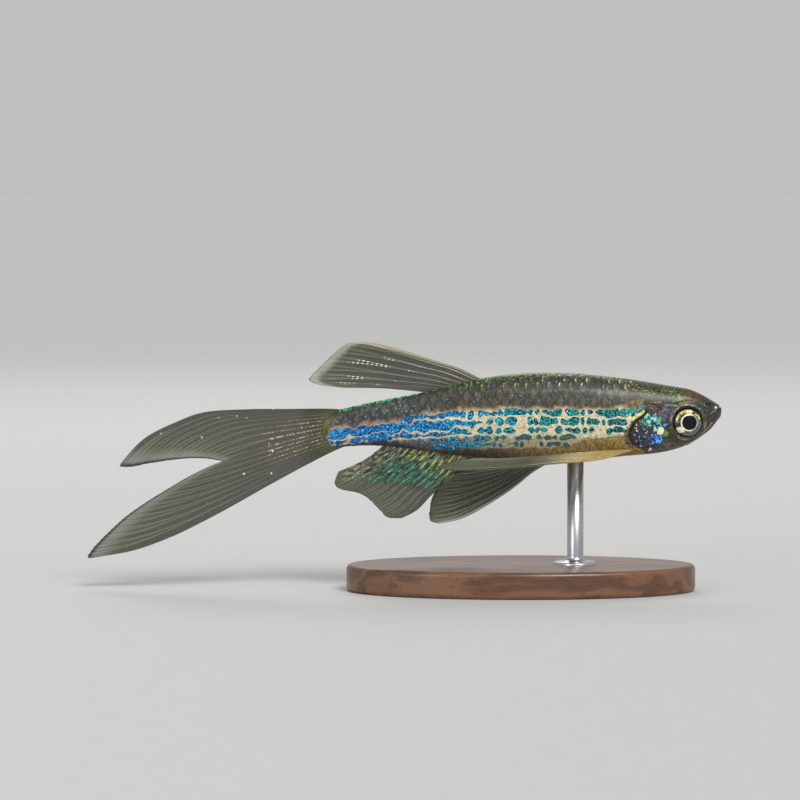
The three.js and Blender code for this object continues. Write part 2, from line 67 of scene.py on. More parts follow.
# Body sections: s, back over the axis, belly under the axis, half width, fullness
SECTIONS = [
    [0, 0, 0, 0, 2.2],
    [0.06, 0.33, 0.4, 0.45, 2.2],
    [0.2, 0.52, 0.64, 0.7, 2.2],
    [0.5, 0.8, 1.02, 1, 2.3],
    [1, 1.13, 1.62, 1.28, 2.4],
    [1.8, 1.64, 2.28, 1.58, 2.5],
    [3, 2.23, 3, 1.86, 2.7],
    [4.2, 2.53, 3.4, 2.03, 2.7],
    [5.5, 2.81, 3.68, 2.18, 2.6],
    [7, 3.13, 3.84, 2.33, 2.5],
    [9, 3.54, 3.92, 2.44, 2.4],
    [11.8, 3.99, 4.04, 2.48, 2.3],
    [14.8, 4.38, 4.05, 2.42, 2.25],
    [17.5, 4.55, 3.97, 2.28, 2.2],
    [20.5, 4.53, 3.77, 2.06, 2.2],
    [23.5, 4.27, 3.43, 1.76, 2.15],
    [26.5, 3.68, 2.98, 1.42, 2.1],
    [29, 3.19, 2.52, 1.16, 2.1],
    [32, 2.75, 1.99, 0.9, 2.1],
    [34.5, 2.35, 1.76, 0.72, 2.1],
    [36.5, 1.98, 1.76, 0.6, 2.1],
    [38.2, 1.66, 1.84, 0.5, 2.1],
    [39.6, 1.45, 1.85, 0.42, 2.1],
]
SKIN_END = 38.9
SKIN_TAPER = 2.6
SKIN_OVER_STEM = 0.3
SKIN_ROUND = 192
SKIN_RINGS = 380
SNOUT_RING_SHARE = 0.28
# Where the skin's rings bend to follow the gill slit and the end of the tail stem
GILL_BEND_START = [4.8, 7.4]
GILL_BEND_END = [14.5, 9.4]
GILL_RING = 8.2
STEM_BEND_START = 35.4

# Lines on the head and at the end of the tail stem, as s and z
GILL_LINE = [
    [7.3, 5], [7.25, 2], [7.3, 0.3], [7.55, -0.25], [8.1, -0.7], [8.6, -1.25],
    [8.88, -1.95], [8.8, -2.7], [8.3, -3.4], [7.5, -3.95], [6.9, -5.5],
]
STEM_END_LINE = [
    [37.6, 3], [37.9, 0], [38.5, -1], [38.7, -1.85], [38.5, -2.7], [37.9, -3.7], [37.6, -6],
]
EYE = {
    "s": 3.36, "z": -1, "radius": 1.4, "back": 0.75, "edge": 1.72, "front": 2.14, "turn": 0.12,
}
EYE_BEVEL = 0.1
EYE_RINGS = 14
EYE_STEPS = 72
LENS_HEIGHT = 0.05
LENS_RADIUS = 0.55
MOUTH_TOP = [-0.15, 1]
MOUTH_CORNER = [0.66, -0.5]
NOSTRIL = [1.35, 0.72]
GILL_FRONT = [[7.6, 0.75], [6.6, 0.6], [5.95, -0.3], [5.85, -1.6], [6.3, -2.6], [7.2, -3.1]]
PREOPERCLE = [[5.2, 0.5], [5.35, -0.6], [5.3, -1.9], [4.7, -2.9], [3.6, -3.35]]
# Creases on and under the gill cover, each with its depth and width
COVER_LINES = [
    [[[6.2, -2.1], [7.2, -2.35], [8.6, -2.35]], 0.035, 0.08],
    [[[4.6, -3.55], [6, -3.75], [7.6, -3.85]], 0.05, 0.09],
    [[[4.9, -3.3], [6.2, -3.45], [7.9, -3.5]], 0.05, 0.09],
]
# Paths of the barbels, from the root to the tip, each with the radius of its root
BARBELS = [
    [[[0.75, -0.6], [1.25, -1.35], [1.9, -2.1], [2.7, -2.75], [3.6, -3.15]], 0.15],
    [[[0.45, 0.35], [0.8, 0.1], [1.25, -0.25]], 0.12],
]
BARBEL_TIP = 0.05
BARBEL_SINK = 0.35
BARBEL_SPREAD = 0.06
STRAND_SIDES = 10
STRAND_STEPS = 28

# Fin outlines: the root, then the front and rear edges from the root to their
# tips, and the outer edge between the tips
DORSAL = {
    "rays": 9, "root": [23, 28],
    "front": [[25.3, 4.13], [27.7, 4.9], [31.4, 6.08], [33.6, 6.6], [35.2, 6.76]],
    "rear": [[32.7, 2.2], [37, 2.27]],
    "edge": [[36.2, 6.68], [37.3, 6], [38.5, 4.9], [39.6, 3.8], [40.2, 3.02], [39, 2.52]],
}
ANAL = {
    "rays": 14, "root": [24.5, 32.6],
    "front": [[25.6, -5.7], [26.8, -7.04], [28.2, -8.2], [29.6, -9.65], [31.2, -10.5]],
    "rear": [[34.4, -4.52], [35.9, -5.31], [37.3, -5.9]],
    "edge": [[32.5, -10.4], [33.3, -9.7], [34.2, -8.77], [35.3, -8.06], [37, -7.67], [37.7, -7.1]],
}
TAIL_REAR = [[43.8, -3.42], [48.6, -4.9]]
TAIL_UPPER = {
    "rays": 10, "root": [[36.6, 0.12], [37.5, -0.1], [37.95, -0.7], [38.1, -1.3], [38.15, -1.9]],
    "front": [
        [38.4, 0.24], [42.6, 0.2], [46, 0.17], [50.2, -0.1],
        [53, -1.05], [56.1, -2.62], [58.2, -4.71], [58.7, -5.57],
    ],
    "rear": TAIL_REAR,
    "edge": [[57.7, -5.57], [55.4, -5.14], [52.6, -4.74], [50.6, -4.66]],
}
TAIL_LOWER = {
    "rays": 10, "root": [[36.2, -3.25], [37.4, -3.3], [37.95, -2.9], [38.1, -2.4], [38.15, -1.9]],
    "front": [
        [38.1, -4.1], [40.8, -5.49], [44.3, -7.41], [47.8, -9.4],
        [50.6, -10.9], [53.7, -12.4], [57.3, -13.7], [61, -14.4],
    ],
    "rear": TAIL_REAR,
    "edge": [[61.9, -14.3], [60.1, -12.2], [57.5, -9.93], [54, -7.66], [51, -5.95]],
}
PELVIC = {
    "rays": 8, "root": [15.4, 17.4],
    "front": [[18.2, -5.8], [20.2, -7.36], [22.6, -8.93], [25.2, -10.3], [27.6, -10.8]],
    "rear": [[21.5, -5.5], [25.8, -5.95]],
    "edge": [[28.4, -10.5], [28.4, -9.65], [28.1, -8.4], [27.1, -7]],
}
PELVIC_SIDES = {"root": 0.75, "tip": 2.3, "rear_inset": 0.3}
# Seen from above, as s and the distance from the middle of the fish
PECTORAL = {
    "rays": 11, "root": [8.4, 9.5],
    "front": [[12.5, 4.2], [17.5, 5.5], [22.5, 6.1], [26.6, 6]],
    "rear": [[14, 2.75], [19, 2.9], [24.4, 3.3]],
    "edge": [[27.9, 5.5], [27.6, 4.6], [26.2, 3.8]],
}
PECTORAL_ROOT_HEIGHT = -3.7
# Heights of its front and rear edges, from the root to the tip
PECTORAL_HEIGHTS = [
    [[0, -3.7], [0.2, -4.4], [0.5, -4.85], [0.8, -5.3], [1, -5.4]],
    [[0, -3.7], [0.3, -3.85], [0.6, -4.2], [0.8, -4.4], [1, -4.35]],
]
ROOT_SINK = 0.35
FIN_WAVE = {"reach": 0.18, "turn": 4}
RAY_BRANCHES = [0.38, 0.68]
FIN_NOTCH = 0.05
# How much thicker a fin is at its root, and over which share of its length
FIN_FOOT = 0.16
FIN_FOOT_REACH = 0.07
RAY_TAPER = 0.65
ROOT_POINTS = 6
FIN_ALPHA = 0.64
FIN_ROWS = 72
COLUMNS_PER_RAY = 20

# Rows and columns of scales that are tried for room on the skin
SCALE_ROWS = range(-9, 10)
SCALE_COLUMNS = range(-2, 40)
FIRST_SCALE = 6
SCALE_NARROWING = 0.22
RIDGE_ROOM = 0.55
FACES_ACROSS_SCALE = 10
FACES_ALONG_SCALE = 2
SCALE_LENGTH_IN_SPACINGS = 1.62 / 1.07
SCALE_SPREAD = 1.06
SCALE_THICKNESS = 0.02
SCALE_ARCH = 0.022
SCALE_SINK = 0.008
SCALE_TILT = 0.012
SCALE_SEED = 7
BAKE_PATCH = 0.003

ROD_S = 14.2
ROD_SINK = 0.25
ROD_STEPS = 64
# Distance from the rod's axis and height over the base, from its flange up
ROD_PROFILE = [(1.15, 0.6), (0.95, 0.68), (0.83, 0.85), (0.8, 1.1)]
BASE_STEPS = 144
BASE_BEVEL = 0.45

# Name endings of the two sides, and the sign of left on each
SIDES = {"_right": -1, "_left": 1}

# Camera and stage
PHOTO_PIXEL = 0.0974 * MM
PHOTO_SIDE = 800
PHOTO_MIDDLE = Vector((-11.78, 0.4, 18.57)) * MM
CAMERA_ELEVATION = math.radians(3)
SENSOR_WIDTH = 36
FLOOR_RADIUS = 6
ROOM_LIGHT = 0.52
SUN_DIRECTION = Vector((-0.35, 0.75, -0.75))
SUN_ANGLE = math.radians(24)
# Square lamps that shine on the photo's middle, each with its place and side
LAMPS = {"fill": [(-0.3, -0.34, 0.12), 0.16], "back": [(-0.05, 0.34, 0.3), 0.2]}


# Curves, tables and the body's shape


def smooth_step(value, low, high):
    """0 up to low and 1 from high on, with a smooth way between; low may be the larger."""
    share = np.clip((value - low) / (high - low), 0, 1)
    return share * share * (3 - 2 * share)


def bump(value, middle, width):
    return np.exp(-(((value - middle) / width) ** 2))


def read_table(rows):
    """Returns a function that reads a table, whose first column is the place, smoothly."""
    table = np.array(rows, float)
    places, values = table[:, 0], table[:, 1:]
    steps = np.diff(places)[:, None]
    rises = np.diff(values, axis=0) / steps
    slopes = np.zeros_like(values)
    slopes[1:-1] = (rises[1:] + rises[:-1]) / 2

    def read(place):
        place = np.atleast_1d(np.asarray(place, float))
        i = np.clip(np.searchsorted(places, place) - 1, 0, len(places) - 2)
        p = np.clip((place - places[i]) / steps[i][:, 0], 0, 1)[:, None]
        start = (1 + 2 * p) * (1 - p) ** 2 * values[i] + p * (1 - p) ** 2 * steps[i] * slopes[i]
        end = p * p * (3 - 2 * p) * values[i + 1] + p * p * (p - 1) * steps[i] * slopes[i + 1]
        return (start + end).T

    return read


def curve_through(points, steps=24):
    """Points along a smooth curve through a few, spaced by how far along it they are."""
    corners = np.array(points, float)
    held = np.vstack([corners[:1], corners, corners[-1:]])
    t = np.linspace(0, 1, steps, endpoint=False)[:, None]
    spans = []
    for a, b, c, d in zip(held, held[1:], held[2:], held[3:]):
        curved = (2 * a - 5 * b + 4 * c - d) * t**2 + (3 * b - a - 3 * c + d) * t**3
        spans.append(b + ((c - a) * t + curved) / 2)
    return np.vstack([*spans, corners[-1:]])


def along(points, share):
    """Point at a share of a curve's length."""
    gaps = np.linalg.norm(np.diff(points, axis=0), axis=1)
    done = np.concatenate([[0], np.cumsum(gaps)])
    at = np.asarray(share, float) * done[-1]
    return np.stack([np.interp(at, done, column) for column in points.T], axis=-1)


def line_at(points):
    """Returns a function from z to s on a line that runs from the back down to the belly."""
    line = curve_through(points)[::-1]
    return lambda z: np.interp(z, line[:, 1], line[:, 0])


gill_s = line_at(GILL_LINE)
stem_end_s = line_at(STEM_END_LINE)
read_section = read_table(SECTIONS)


def section_at(s):
    """Middle height, half height, half width and fullness of the body's section."""
    back, belly, half_width, fullness = read_section(s)
    middle = -s * math.tan(PITCH) + (back - belly) / 2
    return middle, (back + belly) / 2, half_width, fullness


class Rounding:
    """How far up and out a section's outline is at a share of its quarter's length,
    counted from the mid side to the back or belly."""

    def __init__(self):
        self.places = np.linspace(0.02, SKIN_END, 160)
        self.shares = np.linspace(0, 1, 65)
        turns = np.linspace(0, math.pi / 2, 400)
        _, heights, widths, fullness = section_at(self.places)
        self.units = np.zeros((len(self.places), len(self.shares), 2))
        self.lengths = np.zeros(len(self.places))
        for i, power in enumerate(2 / fullness):
            units = np.stack([np.cos(turns) ** power, np.sin(turns) ** power], axis=1)
            units[-1, 0] = 0
            reach = [max(widths[i], 0.02), heights[i]]
            gaps = np.linalg.norm(np.diff(units * reach, axis=0), axis=1)
            self.lengths[i] = gaps.sum()
            done = np.concatenate([[0], np.cumsum(gaps)])
            for j in range(2):
                self.units[i, :, j] = np.interp(self.shares * done[-1], done, units[:, j])

    def quarter(self, s):
        return np.interp(s, self.places, self.lengths)

    def reach(self, s, share):
        last_row, last_column = len(self.places) - 1.001, len(self.shares) - 1.001
        row = np.clip(np.interp(s, self.places, np.arange(len(self.places))), 0, last_row)
        column = np.clip(share * (len(self.shares) - 1), 0, last_column)
        i, j = row.astype(int), column.astype(int)
        p, q = (row - i)[:, None], (column - j)[:, None]
        upper = self.units[i, j] * (1 - q) + self.units[i, j + 1] * q
        lower = self.units[i + 1, j] * (1 - q) + self.units[i + 1, j + 1] * q
        return (upper * (1 - p) + lower * p).T


rounding = Rounding()


def folded(up):
    """Ways along the skin, with those past the back or belly turned back from it."""
    return np.where(np.abs(up) > 1, np.sign(up) * 2 - up, up)


def skin_point(s, up):
    """Left and z on the right side's skin, where up is the way along the skin from
    mid side as a share of the quarter, 1 at the back and -1 at the belly. Past
    those the point lies on the left side."""
    middle, half_height, half_width, _ = section_at(s)
    out, rise = rounding.reach(s, np.abs(folded(up)))
    side = np.where(np.abs(up) > 1, 1, -1)
    z = middle + np.sign(folded(up)) * rise * half_height
    closing = np.clip((s - stem_end_s(z) - SKIN_OVER_STEM) / SKIN_TAPER + 1, 0, 1)
    return side * out * half_width * np.sqrt(1 - closing**2), z


def fall(share, fullness):
    """How far a section reaches one way at a share of its reach the other way."""
    return (1 - np.clip(np.abs(share), 0, 1) ** fullness) ** (1 / fullness)


def skin_height(s, out, up):
    """Height of the back (up = 1) or belly (up = -1) at a distance from the middle."""
    middle, half_height, half_width, fullness = section_at(s)
    return (middle + up * half_height * fall(out / half_width, fullness))[0]


def half_width_at(s, z):
    middle, half_height, half_width, fullness = section_at(s)
    return (half_width * fall((z - middle) / half_height, fullness))[0]


def to_frame(s, left, z):
    """Points of the model's frame, in metres."""
    swing = TAIL_SWING * (np.maximum(0, s - SWING_START) / (SWING_END - SWING_START)) ** 2
    return np.stack([STAND_MIDDLE - s, left + swing, SNOUT_HEIGHT + z], axis=-1) * MM


# Row coordinate of the markings: 0 on the main row of spots, 1 on the row over it
ROW_PITCH = 0.88
SPOT_PITCH = 1.28
SPOT_HALF_HEIGHT = 0.42
MAIN_ROW = -0.33
REAR_DROP = 0.22
LOWER_CROWDING = 1.25
MAP_LENGTH = 40
MAP_ROWS = 16


def body_map(s, up):
    """Place on the markings' map, from 0 to 1 each way."""
    rise = up * rounding.quarter(s)
    rows = (rise - MAIN_ROW + REAR_DROP * smooth_step(s, 26, 36)) / ROW_PITCH
    rows = np.where(rows < -1, -1 + (rows + 1) * LOWER_CROWDING, rows)
    return np.stack([s / MAP_LENGTH, rows / MAP_ROWS + 0.5], axis=-1)


# Meshes


def mesh_from(bm, name):
    mesh = bpy.data.meshes.new(name)
    bm.to_mesh(mesh)
    bm.free()
    return mesh


def unit_sheet(name, columns, rows):
    """Flat grid from 0 to 1 each way."""
    bm = bmesh.new()
    bmesh.ops.create_grid(bm, x_segments=columns, y_segments=rows, size=0.5)
    bmesh.ops.translate(bm, verts=bm.verts, vec=(0.5, 0.5, 0))
    return mesh_from(bm, name)


def spun(name, profile, steps):
    """Round mesh about the Z axis, from points as a distance from it and a height."""
    bm = bmesh.new()
    chain = [bm.verts.new((out, 0, height)) for out, height in profile]
    edges = [bm.edges.new(pair) for pair in zip(chain, chain[1:])]
    bmesh.ops.spin(
        bm, geom=chain + edges, cent=(0, 0, 0), axis=(0, 0, 1),
        angle=2 * math.pi, steps=steps, use_merge=True,
    )
    bmesh.ops.remove_doubles(bm, verts=bm.verts, dist=1e-4)
    return mesh_from(bm, name)


def places_of(mesh):
    places = np.zeros(len(mesh.vertices) * 3, np.float32)
    mesh.vertices.foreach_get("co", places)
    return places.reshape(-1, 3).astype(float)


def set_places(mesh, places):
    mesh.vertices.foreach_set("co", np.ascontiguousarray(places, np.float32).ravel())
    mesh.update()


def add_map(mesh, name, places):
    """UV map with one place for each vertex."""
    corners = np.zeros(len(mesh.loops), np.int32)
    mesh.loops.foreach_get("vertex_index", corners)
    layer = mesh.uv_layers.new(name=name)
    layer.data.foreach_set("uv", places[corners].astype(np.float32).ravel())


def add_value(mesh, name, values):
    attribute = mesh.attributes.new(name, "FLOAT", "POINT")
    attribute.data.foreach_set("value", values.astype(np.float32))


def closed(mesh, weld=True):
    """Welds a bent sheet's seams and poles and turns its faces outwards."""
    bm = bmesh.new()
    bm.from_mesh(mesh)
    if weld:
        bmesh.ops.remove_doubles(bm, verts=bm.verts, dist=1e-4 * MM)
    bmesh.ops.recalc_face_normals(bm, faces=bm.faces)
    if bm.calc_volume(signed=True) < 0:
        bmesh.ops.reverse_faces(bm, faces=bm.faces)
    bm.to_mesh(mesh)
    bm.free()
    return mesh


def add_object(name, data):
    thing = bpy.data.objects.new(name, data)
    bpy.context.scene.collection.objects.link(thing)
    return thing


def add_piece(mesh, finish, replaced=()):
    piece = add_object(mesh.name, mesh)
    mesh.materials.append(finish)
    mesh.shade_smooth()
    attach(piece, "root")
    if replaced:
        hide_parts(*replaced)
    return piece


# Materials


def rgb(red, green, blue):
    """A colour from its screen values up to 255."""
    parts = (c / 255 for c in (red, green, blue))
    return (*(p / 12.92 if p <= 0.04045 else ((p + 0.055) / 1.055) ** 2.4 for p in parts), 1.0)


class Signal:
    """A node's output. Operators on it add Math nodes."""

    def __init__(self, paint, socket):
        self.paint = paint
        self.socket = socket

    def __add__(self, other):
        return self.paint.math("ADD", self, other)

    def __sub__(self, other):
        return self.paint.math("SUBTRACT", self, other)

    def __rsub__(self, other):
        return self.paint.math("SUBTRACT", other, self)

    def __mul__(self, other):
        return self.paint.math("MULTIPLY", self, other)

    def __truediv__(self, other):
        return self.paint.math("DIVIDE", self, other)

    def __pow__(self, other):
        return self.paint.math("POWER", self, other)

    def __neg__(self):
        return self.paint.math("MULTIPLY", self, -1)

    __radd__ = __add__
    __rmul__ = __mul__

    def at_least(self, other):
        return self.paint.math("MAXIMUM", self, other)

    def at_most(self, other):
        return self.paint.math("MINIMUM", self, other)

    def step(self, low, high):
        """0 up to low and 1 from high on, with a smooth way between; low may be the larger."""
        if low > high:
            return 1 - self.step(high, low)
        settings = {"interpolation_type": "SMOOTHSTEP"}
        return self.paint.node("ShaderNodeMapRange", settings, {0: self, 1: low, 2: high})

    def within(self, low, high, soft):
        """1 from low to high, with soft ways of a given width inside them."""
        return self.step(low, low + soft) * self.step(high, high - soft)

    def noise(self, scale, detail=2, roughness=0.5):
        inputs = {"Vector": self, "Scale": scale, "Detail": detail, "Roughness": roughness}
        return self.paint.node("ShaderNodeTexNoise", inputs=inputs)

    def cells(self, scale, output="Distance", randomness=1, feature="F1"):
        inputs = {"Vector": self, "Scale": scale, "Randomness": randomness}
        return self.paint.node("ShaderNodeTexVoronoi", {"feature": feature}, inputs, output)

    def parts(self):
        whole = self.paint.node("ShaderNodeSeparateXYZ", inputs={0: self})
        return [Signal(self.paint, socket) for socket in whole.socket.node.outputs]

    def lay(self, share, colour):
        """Puts another colour over this one, as far as share says."""
        self.socket = self.paint.mix(share, self, colour).socket


class Paint:
    """Builds one node material. Plain colours are given as screen values up to 255."""

    def __init__(self, name, **uniform):
        self.material = bpy.data.materials.new(name)
        self.material.use_nodes = True
        self.nodes = self.material.node_tree.nodes
        self.links = self.material.node_tree.links
        self.finish(**uniform)

    def finish(self, **looks):
        """Sets or links the shader's inputs, named in small letters with underscores."""
        for name, value in looks.items():
            title = name.replace("_", " ").title().replace("Ior", "IOR")
            self.set_socket(self.nodes["Principled BSDF"].inputs[title], value)
        return self.material

    def set_socket(self, socket, value):
        if isinstance(value, Signal):
            self.links.new(value.socket, socket)
        else:
            socket.default_value = value

    def node(self, kind, settings=None, inputs=None, output=0):
        """Adds a node, its settings first, and returns one of its outputs."""
        node = self.nodes.new(kind)
        for name, value in (settings or {}).items():
            setattr(node, name, value)
        for key, value in (inputs or {}).items():
            self.set_socket(node.inputs[key], value)
        return Signal(self, node.outputs[output])

    def math(self, operation, *values):
        return self.node("ShaderNodeMath", {"operation": operation}, dict(enumerate(values)))

    def vector(self, x=0, y=0, z=0):
        return self.node("ShaderNodeCombineXYZ", inputs={0: x, 1: y, 2: z})

    def mix(self, share, *colours):
        a, b = (rgb(*c) if isinstance(c, tuple) else c for c in colours)
        return self.node("ShaderNodeMix", {"data_type": "RGBA"}, {0: share, 6: a, 7: b}, output=2)

    def ramp(self, value, stops):
        """A colour that runs through those of the stops, from the first at 0 to the last at 1."""
        ramp = self.node("ShaderNodeValToRGB", inputs={0: value})
        elements = ramp.socket.node.color_ramp.elements
        for place, _ in stops[1:-1]:
            elements.new(place)
        for element, (_, colour) in zip(elements, stops):
            element.color = rgb(*colour)
        return ramp

    def object_place(self):
        """Millimetres along, across and up in the model's frame."""
        place = self.node("ShaderNodeTexCoord", output="Object")
        settings = {"operation": "SCALE"}
        return self.node("ShaderNodeVectorMath", settings, {0: place, "Scale": 1 / MM})

    def map_place(self, name):
        return self.node("ShaderNodeUVMap", {"uv_map": name}).parts()[:2]

    def value(self, name):
        return self.node("ShaderNodeAttribute", {"attribute_name": name}, output="Fac")

    def bump(self, height, distance, strength=1):
        inputs = {"Height": height, "Distance": distance * MM, "Strength": strength}
        return self.node("ShaderNodeBump", inputs=inputs)


def spot_rows(paint, s, row):
    """How far inside a spot a place is, over 0 inside, and its level among the rows."""
    wander = paint.vector(s * 0.75, row * 0.8).noise(1, detail=1) - 0.5
    ripple = paint.vector(s * 1.5, row * 0.6, 8).noise(1, detail=0) - 0.5
    level = row + wander + ripple * 0.7 * s.step(22, 27)
    number = paint.math("ROUND", level)
    chance = paint.node("ShaderNodeTexWhiteNoise", {"noise_dimensions": "1D"}, {"W": number})
    jitter = paint.vector(s * 0.6, number * 3.7).noise(1, detail=0) - 0.5
    beads = paint.math("COSINE", (s / SPOT_PITCH + chance * 7 + jitter * 3) * 2 * math.pi)
    blotch = paint.vector(s * 0.8, row * 0.9, 4).noise(1, detail=1) - 0.5
    blotch = blotch.at_least(-0.12)
    off = level - number
    rows = [paint.math("COMPARE", number, n, 0.3) for n in (1, 0, -1, -2, -3)]
    upper, main, under, fourth, fifth = rows
    joined_rear = (main + under * 0.6) * s.step(22.5, 26) * (s + under * 8).step(42, 38)
    wide = main * s.step(29, 34)
    half = SPOT_HALF_HEIGHT + 0.3 * wide
    inside = 0.5 + 0.6 * beads * (1 - 0.8 * joined_rear) + blotch * (2.7 - 1.2 * joined_rear)
    inside = inside + 0.4 * joined_rear + 0.7 * fifth * s.step(22.5, 24)
    inside = inside + 0.6 * upper * s.step(12.4, 11.2) + 0.3 * under * s.step(32.5, 34.5)
    inside = inside.at_most(1) + 0.6 * wide - (off / half) ** 2
    there = main + under + upper * s.step(33.5, 30.5)
    there = there + fourth * s.step(11.6, 13) * s.step(30.5, 28.5)
    there = there + fifth * s.step(13.5, 15) * s.step(29.5, 27.8)
    return inside - 3 * (1 - there), level


# Colours of the spots from the gills to the tail, as the share of the way and the colour
SPOT_DARK = [(0, (6, 38, 54)), (0.35, (4, 56, 84)), (0.7, (4, 66, 124)), (1, (4, 54, 132))]
SPOT_LIGHT = [
    (0, (64, 188, 184)), (0.35, (54, 206, 220)), (0.7, (56, 204, 250)), (1, (56, 186, 255)),
]


def leopard_colours(paint, s, row, place):
    """Colour of the scaled skin, and how much of it is spot and how much is net."""
    inside, level = spot_rows(paint, s, row)
    from_ridge = paint.value("from_ridge")
    fine = place.noise(5)
    broad = place.noise(0.9)
    chance = place.cells(4.6, "Color").parts()
    middle = (place.cells(4.6) + fine * 0.25).step(0.85, 0.2)
    dots = place.cells(7, randomness=0.8).step(0.42, 0.24)
    front = (s - paint.math("ABSOLUTE", level) * 0.3).step(8.75, 9.15)
    front = front.at_least(level.step(0.45, 0.6) * s.step(8.2, 8.6))
    tail_end = s + paint.math("ABSOLUTE", level + 0.2) * 0.45 + (fine - 0.5) * 0.9
    tail_end = tail_end.step(38.2, 38.6)
    front = front * (1 - tail_end)

    rearward = s.step(11, 34)
    grain = place.noise(6).step(0.45, 0.57) * (0.6 + 0.4 * middle)
    blue = paint.mix(grain, paint.ramp(rearward, SPOT_DARK), paint.ramp(rearward, SPOT_LIGHT))
    blue.lay(inside.step(0.3, 0.02) * 0.6, (6, 34, 56))
    blue.lay(chance[1].step(0.86, 0.95) * middle, (150, 240, 236))
    blue.lay(chance[2].step(0.8, 0.86) * middle * 0.8, (6, 24, 58))
    blue.lay(level.step(-1.55, -1.8) * s.step(25, 21) * 0.65, (84, 106, 108))

    spot = (inside + (fine - 0.5) * 0.7).step(-0.08, 0.14) * front
    top = 1.7 - 0.75 * s.step(27, 33) + (broad - 0.5) * 0.8
    bottom = -1.9 - 1.75 * s.step(11.5, 17) + 2.2 * s.step(28, 33)
    band = (top - level).step(-0.12, 0.35) * (level - bottom).step(-0.1, 0.3)
    violet = s.step(22.5, 26) * level.step(-1.45, -1.75)
    net = band * front * (1 - 0.8 * violet) * (1 - 0.5 * level.step(-1.6, -2.4))

    cream = paint.mix(fine.step(0.3, 0.62), (176, 158, 114), (230, 224, 190))
    cream.lay(inside.step(-0.7, -0.15) * 0.45, (240, 236, 206))
    cream.lay((top - level).step(0.75, 0.15) * 0.8, (150, 122, 84))
    cream.lay(s.step(25, 33) * 0.5, (206, 170, 146))
    cream.lay(s.step(26, 31) * level.step(0.3, 0.7) * 0.6, (124, 98, 92))
    cream.lay(dots * 0.22, (96, 84, 60))

    back = paint.mix(fine.step(0.3, 0.7), (26, 27, 24), (60, 61, 52))
    back.lay(broad.step(0.42, 0.6) * 0.55, (60, 42, 38))
    back.lay(s.step(26, 34) * 0.45, (44, 58, 64))
    nape = s.step(12.5, 8.5)
    back.lay(nape * 0.75, paint.mix(fine, (28, 30, 15), (70, 66, 38)))
    above = level.step(3, 1.7) * s.step(28, 21)
    back.lay(above * 0.5, paint.mix(fine, (66, 60, 40), (128, 116, 82)))
    back.lay(dots * 0.7, (14, 25, 30))
    salt = place.noise(8, detail=1).step(0.56, 0.66)
    back.lay(salt * 0.4, (112, 110, 90))
    pale = level.within(3.1, 3.65, 0.2) * s.step(25, 20)
    back.lay(pale * 0.3, (108, 102, 82))
    often = 0.92 - 0.14 * s.step(24, 30)
    speck = paint.math("GREATER_THAN", chance[2], often) * middle * level.step(0.8, 1.2)
    back.lay(speck * 0.7, (120, 150, 170))
    dusky = paint.math("SINE", s * 6.1 + broad * 4).step(0.3, 0.6)
    dusky = dusky * level.within(1.7, 2.3, 0.15) * s.step(24, 20)
    back.lay(dusky * 0.85, (22, 50, 60))

    gold = paint.mix(fine.step(0.3, 0.7), (120, 100, 52), (166, 142, 82))
    belly = paint.mix(s.step(15, 24), gold, paint.mix(fine, (52, 48, 42), (94, 88, 78)))
    belly.lay(s.step(27, 33) * 0.6, (52, 52, 46))
    colour = paint.mix(level.step(-1.4, -2.2), back, belly)
    colour.lay(row.step(-5.4, -6.4) * 0.6, (176, 170, 142))
    dusk = paint.mix(fine, (34, 34, 56), (74, 70, 98))
    colour.lay(violet * level.step(-3.4, -3.1) * 0.75, dusk)
    colour.lay(tail_end * 0.9, paint.mix(fine, (40, 44, 30), (116, 108, 60)))
    colour.lay(net, cream)
    colour.lay(spot, blue)

    nape_fleck = nape * middle * chance[1].step(0.74, 0.8) * from_ridge.step(2.6, 1.8)
    colour.lay(nape_fleck * 0.8, paint.mix(chance[0], (70, 150, 40), (214, 214, 130)))
    ridge = (from_ridge + (broad - 0.5) * 0.5).step(1, 0.35)
    colour.lay(ridge * 0.85, paint.mix(fine, (22, 26, 12), (50, 54, 26)))
    # Painted glints: bright lime dashes along the front of the ridge
    lime = chance[0].step(0.5, 0.6) * middle * from_ridge.step(1.3, 0.9)
    lime = lime * s.step(9, 11) * s.step(26.5, 25)
    colour.lay(lime * 0.8, paint.mix(s.step(17, 21), (186, 196, 104), (128, 190, 40)))
    # Painted glints: emerald flecks along the rear of the ridge
    green = chance[1].step(0.35, 0.55) * (from_ridge + (broad - 0.5) * 0.4).step(0.5, 0.25)
    green = green * s.step(24.5, 27) * s.step(37.6, 36.8)
    colour.lay(green * 0.85, paint.mix(chance[0], (8, 96, 58), (70, 220, 160)))
    return colour, spot, net


def marked_body(name, coat_roughness):
    """Starts a body material, with its markings and the places that they were made from."""
    paint = Paint(name, coat_roughness=coat_roughness, specular_ior_level=0.35)
    u, v = paint.map_place("body_map")
    s = u * MAP_LENGTH
    place = paint.object_place()
    colour, spot, net = leopard_colours(paint, s, (v - 0.5) * MAP_ROWS, place)
    return paint, s, place.parts()[2] - SNOUT_HEIGHT, place, colour, spot, net


